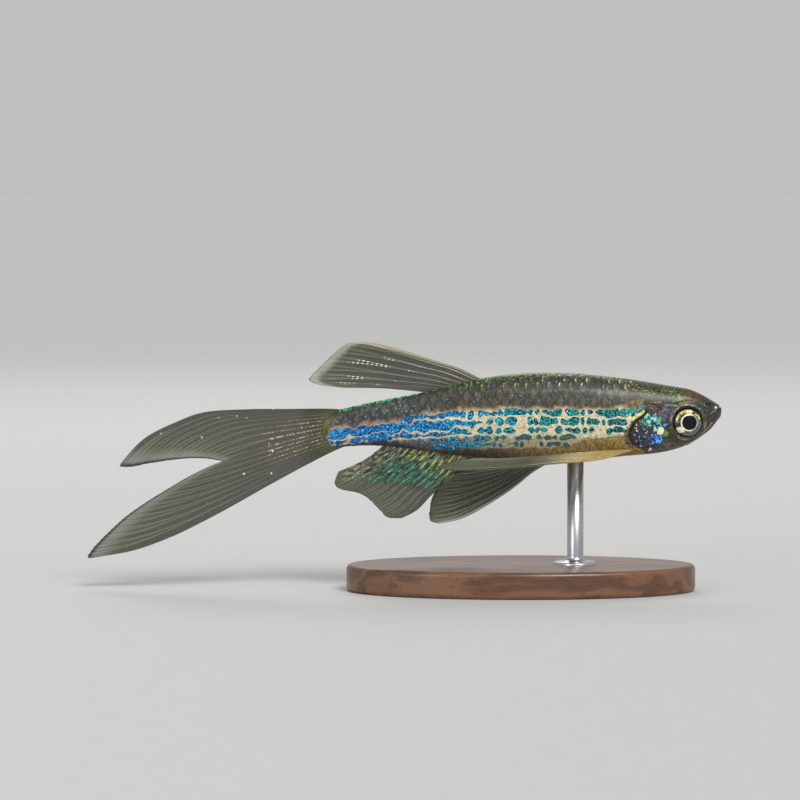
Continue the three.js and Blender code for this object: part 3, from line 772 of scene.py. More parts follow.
def scale_finish():
    paint, s, rise, place, colour, spot, net = marked_body("scaled skin", 0.22)
    across, down = paint.map_place("scale_map")
    tone = paint.value("scale_tone")
    from_ridge = paint.value("from_ridge")
    plain = (1 - spot) * (1 - 0.7 * net)
    # Darker rear edge of each scale: its dark margin, with painted shade where it lies over the
    # next scale
    colour.lay(down.step(0.84, 0.98) * plain * 0.4, (24, 24, 20))
    # Painted highlight: a pale band just before each scale's raised rear edge
    pale = down.step(0.4, 0.7) * down.step(0.9, 0.78)
    colour.lay(pale * plain * 0.2 * tone, (132, 130, 112))
    shoulder_colours(paint, colour, s, rise, place)
    chevron = down.step(0.74, 0.79) * down.step(0.87, 0.83)
    chevron = chevron * paint.math("ABSOLUTE", across - 0.1).step(0.45, 0.25)
    high = from_ridge.step(2.4, 2) * from_ridge.step(0.5, 0.8) * tone.step(0.05, 0.3)
    high = high * s.step(26, 23) * place.noise(4.5).step(0.42, 0.55)
    glint = paint.mix(s.step(17.5, 20.5), (226, 222, 172), (150, 206, 60))
    colour.lay(chevron * high * 0.75, glint)
    rings = paint.math("SINE", down * 80) * plain
    height = rings * 0.5 + place.noise(9) * 1.2
    return paint.finish(
        base_color=colour,
        metallic=0.15 + 0.35 * spot + 0.15 * net,
        roughness=0.42 - 0.08 * net + 0.12 * place.noise(4),
        coat_weight=0.14 + 0.18 * tone,
        normal=paint.bump(height, 0.005, 0.6),
    )


def skin_finish():
    paint, s, rise, place, colour, spot, _ = marked_body("skin", 0.2)
    blend = (place.noise(1.3, detail=3) - 0.5) * 9 * rise.step(0.3, 1)
    head = (paint.value("past_gill") + blend).step(0.06, -0.06)
    dark = paint.value("dark")
    shoulder_colours(paint, colour, s, rise, place)
    colour.lay(head, head_colours(paint, s, rise, place))
    # Painted shade in the head's gill slit, mouth cleft, nostril pits and creases
    colour.lay(dark, (12, 11, 9))
    return paint.finish(
        base_color=colour,
        metallic=0.12 + 0.25 * spot,
        roughness=0.44 + 0.15 * place.noise(3),
        coat_weight=0.24 - 0.24 * dark,
        normal=paint.bump(place.noise(8, detail=3), 0.012, 0.5),
    )


def patch(s, rise, middle, reach, ragged=0):
    """1 in the middle of an oval place and 0 outside it."""
    far = ((s - middle[0]) / reach[0]) ** 2 + ((rise - middle[1]) / reach[1]) ** 2
    return (far + ragged).step(1.35, 0.65)


def streak(s, rise, start, end, width, ragged):
    """1 along a short line and 0 away from it."""
    run, climb = end[0] - start[0], end[1] - start[1]
    long = run * run + climb * climb
    share = ((s - start[0]) * run + (rise - start[1]) * climb) / long
    share = share.at_least(0).at_most(1)
    away = (s - start[0] - share * run) ** 2 + (rise - start[1] - share * climb) ** 2
    return (s.paint.math("SQRT", away) + ragged * width).step(width * 1.2, width * 0.7)


def streaks(s, rise, points, widths, ragged):
    """1 along a line of several stretches, each with its width."""
    stretches = zip(points, points[1:], widths)
    masks = [streak(s, rise, start, end, width, ragged) for start, end, width in stretches]
    return functools.reduce(Signal.at_least, masks)


def shoulder_colours(paint, colour, s, rise, place):
    """Adds the streaks over the gill slit and the brown skin behind it."""
    fine = place.noise(5)
    rough = (fine - 0.5) * 1.6
    brown = patch(s, rise, (8.9, -2.3), (0.6, 1.1), rough)
    colour.lay(brown * 0.9, paint.mix(fine, (58, 46, 42), (112, 90, 76)))
    spots = place.cells(3.4).step(0.36, 0.24) * patch(s, rise, (9.25, -2.3), (0.5, 0.85))
    colour.lay(spots, (18, 16, 16))
    above = patch(s, rise, (8.3, 0.75), (1, 0.5), rough)
    mottle = place.noise(3.2, detail=3).step(0.35, 0.65)
    colour.lay(above * 0.8, paint.mix(mottle, (70, 58, 38), (134, 114, 80)))
    teal = streaks(s, rise, [(9.3, 0.12), (8.5, 0.2), (7.2, 0.72)], [0.17, 0.13], rough)
    colour.lay(teal, paint.mix(place.noise(6).step(0.45, 0.57), (8, 56, 74), (60, 196, 190)))
    wedge = streaks(s, rise, [(9.3, -0.45), (8.8, -0.6), (7.65, 0.08)], [0.2, 0.17], rough)
    colour.lay(wedge, paint.mix(fine.step(0.35, 0.6), (150, 140, 56), (240, 236, 176)))


# Patches of the head: middle, reach, share, dark and light colour
UPPER_PATCHES = [
    [(3, 1.5), (1, 0.55), 0.8, (60, 38, 18), (106, 70, 34)],
    [(5.5, -0.1), (0.85, 0.72), 1, (50, 46, 60), (112, 104, 124)],
    [(6.5, 0.38), (0.55, 0.33), 0.9, (54, 34, 32), (104, 66, 52)],
]
LOWER_PATCHES = [
    [(6.05, -1.85), (0.3, 0.32), 1, (240, 236, 200), (240, 236, 200)],
    [(5.5, -2.05), (0.35, 0.3), 0.8, (46, 84, 48), (116, 160, 92)],
    [(5.55, -1.2), (0.17, 0.17), 1, (20, 70, 160), (80, 160, 250)],
    [(5.4, -3.2), (0.4, 0.24), 0.6, (110, 84, 84), (190, 148, 152)],
]
# Painted glints, white spots of reflected light, and shining places on the gill cover: middle and
# reach
GILL_GLINTS = [
    [(8.4, -1.85), 0.11], [(8.45, -1.5), 0.09], [(7.95, -3.3), 0.12], [(6.97, -3.6), 0.16],
]
GILL_SHINE = [[(6.9, -0.75), (1, 0.65)], [(6.5, -2.65), (0.75, 0.55)], [(6.3, -1.6), (0.5, 1)]]


def head_colours(paint, straight_s, straight_rise, place):
    """Colour of the head. Its patches lie on places that are moved a little, which
    gives them uneven outlines."""
    aside = paint.node("ShaderNodeVectorMath", {}, {0: place, 1: (9, 4, 2)})
    s = straight_s + (place.noise(1.7) - 0.5) * 0.7
    rise = straight_rise + (aside.noise(1.7) - 0.5) * 0.6
    fine = place.noise(4.5, detail=3)
    rough = (fine - 0.5) * 2.2
    mottle = fine.step(0.36, 0.64)
    chance = place.cells(6.5, "Color").parts()
    fleck = (place.cells(6.5) + (place.noise(14) - 0.5) * 0.7).step(0.6, 0.34)

    colour = paint.mix(mottle, (38, 37, 28), (66, 63, 48))
    throat = (rise + s * 0.12).step(-1.6, -3)
    colour.lay(throat, paint.mix(mottle, (66, 62, 51), (100, 94, 76)))
    high = (rise - s * 0.14).step(-0.25, 0.45)
    colour.lay(high * s.step(1.2, 2.6), paint.mix(mottle, (24, 26, 13), (58, 56, 28)))
    for middle, reach, share, dark, light in UPPER_PATCHES:
        colour.lay(patch(s, rise, middle, reach, rough) * share, paint.mix(mottle, dark, light))
    cover = patch(s, rise, (7.4, -1.8), (1.75, 1.75), rough * 0.5)
    colour.lay(cover, paint.mix(mottle, (26, 22, 30), (74, 60, 68)))
    slit_brown = streak(s, rise, (7.6, -0.45), (8.5, -1.2), 0.22, rough)
    colour.lay(slit_brown * 0.8, (78, 44, 34))

    shines = [patch(s, rise, middle, reach, rough) for middle, reach in GILL_SHINE]
    shine = functools.reduce(Signal.at_least, shines)
    low = rise.step(-1.9, -2.3)
    blot = place.noise(2.6, detail=4, roughness=0.7)
    colour.lay(shine * blot.step(0.4, 0.5) * 0.85, paint.mix(low, (14, 66, 78), (12, 62, 140)))
    bright = paint.mix(low, paint.mix(chance[1], (28, 136, 140), (120, 226, 196)), (46, 146, 240))
    colour.lay(shine * blot.step(0.5, 0.55), bright)
    white = paint.mix(low, (214, 246, 226), (150, 224, 255))
    colour.lay(shine * blot.step(0.6, 0.64), white)
    sparse = fleck * paint.math("LESS_THAN", chance[0], (shine * 0.3).at_least(cover * 0.16))
    colour.lay(sparse * 0.95, paint.mix(chance[2], bright, white))
    for middle, reach, share, dark, light in LOWER_PATCHES:
        colour.lay(patch(s, rise, middle, reach, rough) * share, paint.mix(mottle, dark, light))
    # Painted glints: white spots of reflected light on the gill cover
    for middle, reach in GILL_GLINTS:
        colour.lay(patch(s, rise, middle, (reach, reach * 0.8), rough), (244, 240, 234))

    net = place.cells(1.5, feature="DISTANCE_TO_EDGE").step(0.07, 0.03) * high * s.step(3.4, 4.4)
    colour.lay(net * mottle * 0.5, (122, 132, 92))
    often = 0.4 * place.noise(0.9).step(0.42, 0.62)
    crown_shine = high * s.step(2.8, 4) * fleck * paint.math("LESS_THAN", chance[0], often)
    lit_crown = patch(s, rise, (4.1, 1.43), (0.28, 0.4), rough)
    lit_crown = lit_crown.at_least(patch(s, rise, (7.2, 1.6), (0.5, 0.3), rough))
    crown_shine = crown_shine.at_least(lit_crown * fine.step(0.45, 0.55))
    colour.lay(crown_shine * 0.85, paint.mix(chance[1], (50, 130, 28), (170, 184, 92)))

    s, rise = straight_s, straight_rise
    brow = streak(s, rise, (5.6, 0.75), (4.5, 0.62), 0.07, rough)
    brow = brow.at_least(streak(s, rise, (3.3, 0.66), (2.6, 0.52), 0.07, rough))
    colour.lay(brow * mottle, (196, 214, 176))
    eye = paint.math("SQRT", (s - EYE["s"]) ** 2 + (rise - EYE["z"]) ** 2)
    colour.lay(eye.step(1.9, 1.7) * 0.6, paint.mix(mottle, (44, 46, 40), (90, 90, 76)))
    # Painted highlight: broken pale streaks on the raised rim round the eye
    ring = eye.within(1.62, 1.8, 0.06) * place.noise(1.6).step(0.46, 0.56)
    colour.lay(ring * 0.45, (186, 192, 184))
    # Painted shade in the upper wall of the eye socket
    over = eye.step(1.32, 1.42) * eye.step(1.72, 1.6) * rise.step(-0.35, 0.1)
    colour.lay(over * 0.8, (20, 24, 38))
    # Painted glint: a pale spot of reflected light by the nostril
    nostril_glint = patch(s, rise, (0.62, 0.42), (0.14, 0.12))
    colour.lay(nostril_glint * (0.5 + 0.5 * mottle), (206, 226, 220))
    freckles = place.cells(2.1).step(0.3, 0.18) * s.step(2, 1.4)
    colour.lay(freckles * 0.7, (74, 46, 22))
    colour.lay(place.cells(8).step(0.5, 0.2) * 0.18, (24, 24, 22))
    return colour


def eye_finish():
    paint = Paint("eye", coat_weight=0.3, coat_roughness=0.04, roughness=0.3)
    paint.finish(specular_ior_level=0.15)
    place = paint.object_place()
    x, _, z = place.parts()
    back = STAND_MIDDLE - EYE["s"] - x
    rise = z - (SNOUT_HEIGHT + EYE["z"])
    away = paint.math("SQRT", (back + 0.12) ** 2 + rise * rise)
    outer = paint.math("SQRT", back * back + rise * rise)
    turn = paint.math("ARCTAN2", rise, -back)
    fine = place.noise(5, detail=3)
    rough = (fine - 0.5) * 0.14
    far, rim = away + rough, outer + rough
    mottle = fine.step(0.36, 0.64)
    colour = paint.mix(mottle, (40, 42, 42), (98, 98, 94))
    lower = paint.math("COSINE", turn + math.radians(60)).step(0, 0.6)
    colour.lay(lower * 0.7, paint.mix(mottle, (78, 82, 84), (140, 144, 140)))
    gold = rim.step(1, 1.07) * rim.step(1.3, 1.22) * paint.math("SINE", turn).step(-0.05, 0.3)
    bright_gold = paint.mix(mottle, (176, 160, 40), (240, 236, 150))
    colour.lay(gold, paint.mix(place.noise(2.2).step(0.4, 0.5), (112, 66, 16), bright_gold))
    orange = patch(back, rise, (0.86, -0.9), (0.5, 0.3), rough * 4)
    colour.lay(orange * 0.9, (126, 78, 18))
    cream = patch(back, rise, (0.78, -0.72), (0.46, 0.3), rough * 4)
    colour.lay(cream, (246, 240, 206))
    colour.lay(rim.step(1.28, 1.36), (24, 24, 26))
    ring = far.step(0.7, 0.74) * far.step(0.88, 0.82)
    right = paint.math("COSINE", turn).step(0.75, 0.2)
    colour.lay(ring * (0.3 + 0.7 * right), (244, 242, 226))
    black = away.step(0.73, 0.69)
    colour.lay(black, (3, 3, 4))
    return paint.finish(
        base_color=colour,
        metallic=0.3 * (1 - black),
        normal=paint.bump(fine * (1 - black), 0.02, 0.35),
    )


def fin_finish(name, colours, marks):
    """Membrane and rays, with a fin's own colours added by marks."""
    paint = Paint(name, coat_weight=0.35, coat_roughness=0.15, roughness=0.38)
    u, v = paint.map_place("fin_map")
    place = paint.object_place()
    fine = place.noise(3.5)
    threads = paint.math("SINE", u * 420 + fine * 3).step(0.2, 0.9) * v.step(0.3, 0.8)
    ray = paint.value("ray").at_least(threads * 0.3)
    colour = paint.mix(fine.step(0.3, 0.7), colours.membrane, colours.membrane_light)
    colour.lay(ray * 0.8, colours.ray)
    alpha = FIN_ALPHA + 0.3 * ray + 0.16 * fine + 0.3 * v.step(0.22, 0)
    alpha = alpha + marks(paint, u, v, ray, place, colour)
    joints = paint.math("SINE", v * 160) * ray
    return paint.finish(
        base_color=colour,
        alpha=alpha.at_most(1),
        normal=paint.bump(joints + fine, 0.006, 0.5),
    )


# Each of the next functions adds one fin's marks, and returns what they add to its alpha


def dorsal_marks(paint, u, v, ray, place, colour):
    leading = (u - 0.05 * v).step(0.085, 0.03)
    colour.lay(leading * 0.8, (170, 164, 136))
    colour.lay((v + 0.06 * place.noise(2)).step(0.93, 1) * 0.7, (176, 176, 166))
    colour.lay(v.step(0.3, 0) * 0.6, (84, 74, 56))
    along_rays = paint.vector(u * 9, v * 7, 3).noise(1, detail=0)
    dotted = paint.math("SINE", v * 190 + u * 60).step(0, 0.5)
    dash = dotted * along_rays.step(0.55, 0.6) * v.within(0.36, 0.86, 0.08)
    dash = dash * ray.step(0.6, 0.9) * u.within(0.2, 0.85, 0.1)
    colour.lay(dash, (236, 240, 240))
    return leading * 0.3 + dash * 0.3


def anal_marks(paint, u, v, ray, place, colour):
    dash = paint.vector(u * 2 * ANAL["rays"], v * 10, 5).noise(1, roughness=0.65)
    outward = v - 0.4 * u + (place.noise(1.3) - 0.5) * 0.35
    near = outward.step(0.56, 0.36)
    gold = paint.mix(place.noise(2.5), (120, 140, 40), (236, 226, 110))
    inner = paint.mix((v + u * 0.15).step(0.22, 0.42), gold, (36, 134, 98))
    inner.lay(u.step(0.6, 0.9), (160, 154, 112))
    inner.lay(place.noise(4).step(0.5, 0.66) * 0.7, (150, 214, 190))
    green = v.step(0.12, 0.3) * outward.step(0.4, 0.2) * u.step(0.8, 0.55)
    lit = near * dash.step(0.45, 0.53) * (0.35 + 0.65 * ray.step(0.02, 0.4))
    dark = near * dash.step(0.47, 0.4) * v.step(0.75, 0.5)
    colour.lay(near * 0.75, (20, 26, 21))
    colour.lay(green * 0.45, (20, 76, 60))
    colour.lay(dark * 0.75, (14, 20, 18))
    colour.lay(lit * 0.75, inner)
    return lit * 0.3 + dark * 0.35 + green * 0.2


def tail_marks(paint, u, v, ray, place, colour):
    golden = u.step(0.4, 0.7) * (v - u * 0.6).step(0.08, -0.1)
    number = paint.math("ROUND", u * (TAIL_UPPER["rays"] - 1) * 4)
    beads = paint.vector(number * 3.1, v * 60, 2).noise(1, detail=0)
    mask = golden * beads.step(0.5, 0.6) * ray.step(0.05, 0.4)
    shade = place.cells(1.6, "Color").parts()[0]
    colour.lay(mask * 0.85, paint.mix(shade, (150, 104, 48), (226, 212, 158)))
    # Painted glints: small white spots of reflected light on the fin
    colour.lay(place.cells(0.7).step(0.1, 0.06) * v.step(0.85, 0.7), (236, 236, 226))
    colour.lay(v.step(0.16, 0) * 0.7, (84, 84, 52))
    colour.lay(v.step(0.88, 0.97) * 0.45, (150, 152, 146))
    colour.lay(v.step(0.975, 0.99) * 0.8, (22, 24, 24))
    return mask * 0.2


def pectoral_marks(paint, u, v, ray, place, colour):
    golden = v.step(0.62, 0.2)
    colour.lay(golden * 0.85, paint.mix(place.noise(2.2), (126, 104, 48), (206, 180, 104)))
    colour.lay(v.step(0.4, 0.65) * 0.8, paint.mix(ray, (32, 38, 22), (98, 102, 70)))
    return golden * 0.3


def pelvic_marks(paint, u, v, ray, place, colour):
    colour.lay(u.step(0.09, 0.03) * 0.7, (140, 142, 130))
    return 0


def barbel_finish():
    paint = Paint("barbel skin", coat_weight=0.7, coat_roughness=0.12)
    fine = paint.object_place().noise(5, detail=3)
    return paint.finish(
        base_color=paint.mix(fine, (64, 60, 44), (116, 110, 86)),
        roughness=0.35 + 0.2 * fine,
        normal=paint.bump(fine, 0.01, 0.5),
    )


def wood_finish():
    paint = Paint("oiled walnut", coat_weight=0.25, coat_roughness=0.25)
    x, y, z = paint.object_place().parts()
    warp = paint.vector(x * 0.05, y * 0.35, z * 0.35).noise(1, detail=3)
    rings = paint.math("SINE", (y * 0.5 + z * 0.35 + warp * 9) * 2.4)
    pores = paint.vector(x * 0.35, y * 6, z * 6).noise(1, detail=3)
    dark = pores.step(0.42, 0.3)
    colour = paint.mix(rings.step(-1, 1), (88, 56, 37), (116, 78, 52))
    colour.lay(dark * 0.7, (42, 26, 17))
    return paint.finish(
        base_color=colour,
        roughness=0.38 + 0.2 * dark,
        normal=paint.bump(pores + 0.2 * rings, 0.05, 0.4),
    )


def steel_finish():
    paint = Paint("satin steel", metallic=1)
    x, y, z = paint.object_place().parts()
    brushed = paint.vector(x * 0.6, y * 0.6, z * 14).noise(1)
    return paint.finish(
        base_color=paint.mix(brushed, (176, 178, 182), (206, 208, 210)),
        roughness=0.24 + 0.14 * brushed,
        normal=paint.bump(brushed, 0.01, 0.3),
    )


def floor_finish():
    paint = Paint("pale floor", roughness=0.75)
    fine = paint.object_place().noise(0.4)
    return paint.finish(base_color=paint.mix(fine, (190, 190, 188), (194, 194, 192)))


# Settings


def size_property(name, description, default, least):
    return bpy.props.FloatProperty(
        name=name, description=description, default=default * MM, min=least * MM, unit="LENGTH",
    )


def colour_property(name, description, colour):
    return bpy.props.FloatVectorProperty(
        name=name, description=description, subtype="COLOR", size=4, min=0, max=1, default=colour,
    )


class DanioSizes(bpy.types.PropertyGroup):
    """Sizes of the fine forms."""

    scale_spacing: size_property("Scale spacing", "From one scale to the next in a row", 1.07, 0.5)
    scale_row: size_property("Scale row", "From one row of scales to the next", 0.78, 0.3)
    scale_lift: size_property("Scale lift", "Height of a free edge over the skin", 0.036, 0)
    ray_thickness: size_property("Ray thickness", "Thickness of a fin at a ray's root", 0.17, 0.02)
    web_thickness: size_property("Web thickness", "Thickness of a fin between rays", 0.05, 0.01)


class DanioColours(bpy.types.PropertyGroup):
    """Colours of the fins."""

    membrane: colour_property("Membrane", "Thin part of the fins", rgb(26, 27, 22))
    membrane_light: colour_property("Light membrane", "Its paler places", rgb(50, 51, 40))
    ray: colour_property("Rays", "Rays of the fins", rgb(116, 115, 92))


class DanioStage(bpy.types.PropertyGroup):
    """Camera and lights."""

    lens: bpy.props.FloatProperty(
        name="Lens", description="Focal length", default=200, min=20, unit="CAMERA",
    )
    key_power: bpy.props.FloatProperty(
        name="Key light", description="Strength of the main light", default=2.2, min=0,
    )
    fill_power: bpy.props.FloatProperty(
        name="Fill light", description="Power of each smaller light", default=0.35, min=0,
        unit="POWER",
    )


# Pieces


def segment_distance(s, z, start, end):
    (s0, z0), (s1, z1) = start, end
    long = (s1 - s0) ** 2 + (z1 - z0) ** 2
    share = np.clip(((s - s0) * (s1 - s0) + (z - z0) * (z1 - z0)) / long, 0, 1)
    return np.hypot(s - s0 - share * (s1 - s0), z - z0 - share * (z1 - z0))


def curve_distance(s, z, points):
    line = along(curve_through(points), np.linspace(0, 1, 24))
    return np.min([segment_distance(s, z, a, b) for a, b in zip(line, line[1:])], axis=0)


def head_relief(s, z):
    """How far the skin of the head stands out, and the painted shade in its creases, slits and
    pits.
    """
    eye = np.hypot(s - EYE["s"], z - EYE["z"])
    behind = s - gill_s(z)
    on_head = smooth_step(behind, 0.02, -0.02)
    relief = 0.055 * bump(eye, 1.7, 0.17) - 0.03 * bump(eye, 2.05, 0.15)
    relief -= 0.85 * smooth_step(eye, 1.47, 1.33)
    mouth = segment_distance(s, z, MOUTH_TOP, MOUTH_CORNER)
    relief += 0.05 * bump(mouth, 0.19, 0.1) - 0.17 * bump(mouth, 0, 0.055)
    nose_s, nose_z = s - NOSTRIL[0], z - NOSTRIL[1]
    front_pit = np.hypot(nose_s + 0.14, nose_z)
    rear_pit = np.hypot(nose_s - 0.16, nose_z - 0.04)
    relief += 0.1 * bump(np.hypot(nose_s, nose_z), 0.22, 0.14)
    relief -= 0.24 * bump(front_pit, 0, 0.1) + 0.26 * bump(rear_pit, 0, 0.12)
    cover_front = curve_distance(s, z, GILL_FRONT)
    between = smooth_step(z, 0.95, 0.7) * smooth_step(z, -3.3, -2.95) * smooth_step(s, 5.85, 6.15)
    relief += 0.13 * on_head * between * smooth_step(cover_front, 0, 0.35)
    relief -= 0.04 * bump(cover_front, 0, 0.08) * on_head
    cheek_edge = curve_distance(s, z, PREOPERCLE)
    relief -= 0.05 * bump(cheek_edge, 0, 0.1)
    for line, depth, width in COVER_LINES:
        relief -= depth * bump(curve_distance(s, z, line), 0, width) * on_head
    slit = bump(behind, 0.12, 0.12) * smooth_step(z, 0.5, 0) * smooth_step(z, -3.9, -3.4)
    relief -= 0.18 * slit
    # Painted shade: darkness put into the gill slit, mouth cleft, nostril pits, round the eye
    # socket and along the cheek's edge
    dark = np.maximum.reduce([
        np.minimum(1, 1.3 * slit) * (1 - 0.6 * smooth_step(z, -1.5, -3.2)),
        0.85 * bump(mouth, 0, 0.07) * smooth_step(s, 0.9, 0.7),
        bump(front_pit, 0, 0.11),
        bump(rear_pit, 0, 0.13),
        0.35 * smooth_step(eye, 1.52, 1.42),
        0.35 * bump(cheek_edge, 0, 0.1),
    ])
    return relief, dark


def body_skin():
    """One skin for the head, gill covers, torso and tail stem."""
    mesh = unit_sheet("skin", SKIN_ROUND, SKIN_RINGS)
    round_share, long_share, _ = places_of(mesh).T
    s = SKIN_END * (SNOUT_RING_SHARE * long_share + (1 - SNOUT_RING_SHARE) * long_share**2)
    up = round_share * 4 - 1
    _, z = skin_point(s, up)
    near_gill = smooth_step(s, *GILL_BEND_START) * smooth_step(s, *GILL_BEND_END)
    near_end = smooth_step(s, STEM_BEND_START, SKIN_END)
    end_s = stem_end_s(z) + SKIN_OVER_STEM
    s = s + near_gill * (gill_s(z) - GILL_RING) + near_end * (end_s - SKIN_END)
    left, z = skin_point(s, up)
    relief, dark = head_relief(s, z)
    points = to_frame(s, left, z)
    grid = points.reshape(SKIN_RINGS + 1, SKIN_ROUND + 1, 3)
    ring = np.concatenate([grid[:, -2:-1], grid, grid[:, 1:2]], axis=1)
    normals = np.cross(np.gradient(grid, axis=0), ring[:, 2:] - ring[:, :-2])
    normals /= np.maximum(np.linalg.norm(normals, axis=2, keepdims=True), 1e-12)
    outwards = -np.sign(normals[SKIN_RINGS // 2, SKIN_ROUND // 4, 1])
    normals = outwards * normals.reshape(-1, 3)
    at_pole = long_share < 1e-6
    normals[at_pole] = (1, 0, 0)
    points = points + normals * relief[:, None] * MM
    points[at_pole] = points[at_pole].mean(axis=0)
    add_map(mesh, "body_map", body_map(s, folded(up)))
    add_value(mesh, "past_gill", s - gill_s(z))
    add_value(mesh, "from_ridge", (1 - folded(up)) * rounding.quarter(s))
    # dark holds the painted shade of the head's creases, slits and pits
    add_value(mesh, "dark", np.clip(dark, 0, 1))
    set_places(mesh, points)
    replaced = ["head", "gill_cover_right", "gill_cover_left", "torso", "tail_stem"]
    add_piece(closed(mesh), skin_finish(), replaced)


def scale_template():
    """One closed scale, from 0 to 1 across and along, with a top and a bottom face."""
    mesh = unit_sheet("scale", FACES_ACROSS_SCALE, FACES_ALONG_SCALE)
    bm = bmesh.new()
    bm.from_mesh(mesh)
    bmesh.ops.solidify(bm, geom=bm.faces, thickness=1)
    bmesh.ops.recalc_face_normals(bm, faces=bm.faces)
    for edge in bm.edges:
        edge.smooth = edge.calc_face_angle(0) < 1
    bm.to_mesh(mesh)
    bm.free()
    return mesh


def scale_roots(spacing, pitch):
    """Root of every scale on one side, as s, the way up the skin and the row's height."""
    roots = []
    for row in SCALE_ROWS:
        for column in SCALE_COLUMNS:
            s = FIRST_SCALE + (column + 0.5 * (row % 2)) * spacing
            row_height = pitch * (1 - SCALE_NARROWING * smooth_step(s, 22, 38))
            rise = row * row_height
            quarter = rounding.quarter(s)
            if quarter - abs(rise) < RIDGE_ROOM * row_height:
                continue
            _, z = skin_point(np.array([s]), np.array([rise / quarter]))
            first = max(gill_s(z[0]) + 0.2, np.interp(z[0], [0.8, 1.3], [8, 7.3]))
            if first <= s <= stem_end_s(z[0]) - 1.2:
                roots.append((s, rise, row_height))
    return np.array(roots)


def arrayed(mesh, count):
    """Copies of a mesh in one mesh, in order."""
    source = add_object(mesh.name, mesh)
    copies = source.modifiers.new("Copies", "ARRAY")
    copies.count = count
    copies.use_relative_offset = False
    copies.use_constant_offset = True
    copies.constant_offset_displace = (0, 0, 0)
    made = source.evaluated_get(bpy.context.evaluated_depsgraph_get())
    whole = bpy.data.meshes.new_from_object(made)
    bpy.data.objects.remove(source)
    return whole


def lifted_points(s, up, lift, left):
    """Points over one side's skin at a height along its own outward direction."""
    up_step, long_step = 0.02, 0.05
    across, z = skin_point(s, up)
    across_up, z_up = skin_point(s, up + up_step)
    across_down, z_down = skin_point(s, up - up_step)
    across_rear, z_rear = skin_point(s + long_step, up)
    round_way = np.stack([0 * s, across_up - across_down, z_up - z_down], axis=-1)
    long_way = np.stack([0 * s + long_step, across_rear - across, z_rear - z], axis=-1)
    normal = np.cross(round_way, long_way)
    normal /= np.linalg.norm(normal, axis=1, keepdims=True)
    outward = np.stack([0 * s, across, z - section_at(s)[0]], axis=-1)
    normal *= np.sign(np.sum(normal * outward, axis=1, keepdims=True))
    ahead, aside, over = normal.T * lift
    return to_frame(s + ahead, -left * (across + aside), z + over)


def scales(name, sizes, left):
    """The scales of one side as one mesh."""
    template = scale_template()
    unit = places_of(template)
    spacing = sizes.scale_spacing / MM
    roots = scale_roots(spacing, sizes.scale_row / MM)
    mesh = arrayed(template, len(roots))
    mesh.name = name
    aside, down, depth = np.tile(unit, (len(roots), 1)).T
    across = np.sin((aside * 2 - 1) * math.pi / 2)
    upper = depth > (depth.min() + depth.max()) / 2
    s0, rise0, pitch = np.repeat(roots, len(unit), axis=0).T
    on_left = left > 0
    random = np.random.default_rng(SCALE_SEED + on_left)
    tone = np.repeat(random.random(len(roots)), len(unit))
    tilt = np.repeat(random.normal(0, SCALE_TILT, len(roots)), len(unit))
    rounded = 0.5 + 0.5 * np.sqrt(np.maximum(0, 1 - across**2))
    length = SCALE_LENGTH_IN_SPACINGS * spacing
    s = np.minimum(s0 + length * down * rounded, SKIN_END - 0.4)
    rise = rise0 + across * pitch * SCALE_SPREAD
    quarter = rounding.quarter(s)
    up = rise / quarter
    lift = sizes.scale_lift / MM * (s - s0) / length - SCALE_ARCH * across**2
    lift = lift + tilt * across * down - np.where(upper, 0, SCALE_THICKNESS) - SCALE_SINK
    set_places(mesh, lifted_points(s, up, lift, left))
    add_map(mesh, "body_map", body_map(s, np.clip(up, -1, 1)))
    add_map(mesh, "scale_map", np.stack([across, down], axis=-1))
    root_up = rise0 / rounding.quarter(s0)
    unwrap = np.stack([s0 / MAP_LENGTH, 0.25 + 0.25 * root_up + 0.5 * on_left], axis=-1)
    patch_place = np.stack([down - 0.5, across / 2], axis=-1) * BAKE_PATCH
    add_map(mesh, "OFBake", unwrap + patch_place)
    add_value(mesh, "scale_tone", tone)
    add_value(mesh, "from_ridge", np.abs(quarter - rise))
    add_piece(closed(mesh, weld=False), scale_finish())


def eye(name, left):
    """Ball with a domed front, spun about its axis."""
    radius, turn, rim = EYE["radius"], EYE["turn"], EYE["edge"] - EYE_BEVEL
    profile = [(0, EYE["back"]), (0.75 * radius, EYE["back"])]
    profile += [(radius, EYE["back"] + 0.35), (radius, rim)]
    for slope in np.linspace(0, math.pi / 2, EYE_RINGS + 1)[1:]:
        out = radius * math.cos(slope) ** 0.72
        lens = LENS_HEIGHT * bump(out**2, 0, LENS_RADIUS**2)
        profile.append((out, rim + (EYE["front"] - rim) * math.sin(slope) ** 1.25 + lens))
    mesh = spun(name, profile, EYE_STEPS)
    ahead, up, out = places_of(mesh).T
    x = ahead * math.cos(turn) + (out - EYE["edge"]) * math.sin(turn)
    y = out * math.cos(turn) - ahead * math.sin(turn)
    set_places(mesh, to_frame(EYE["s"] - x, left * y, EYE["z"] + up))
    return closed(mesh)


def strand(points, root):
    """Tapered strand along points, closed at both ends."""
    mesh = unit_sheet("strand", STRAND_SIDES, STRAND_STEPS)
    turn_share, share, _ = places_of(mesh).T
    line = curve_through(points)
    ahead = along(line, np.minimum(share + 0.01, 1)) - along(line, np.maximum(share - 0.01, 0))
    ahead /= np.linalg.norm(ahead, axis=1, keepdims=True)
    side = np.cross(ahead, [0, 0, 1])
    side /= np.linalg.norm(side, axis=1, keepdims=True)
    turn = turn_share[:, None] * 2 * math.pi
    ring = side * np.cos(turn) + np.cross(side, ahead) * np.sin(turn)
    ends = np.sqrt(np.clip(1 - (np.maximum(share - 0.93, 0) / 0.07) ** 2, 0, 1)) * (share > 0)
    radius = ((root + (BARBEL_TIP - root) * share) * ends)[:, None]
    set_places(mesh, (along(line, share) + radius * ring) * MM)
    return closed(mesh)


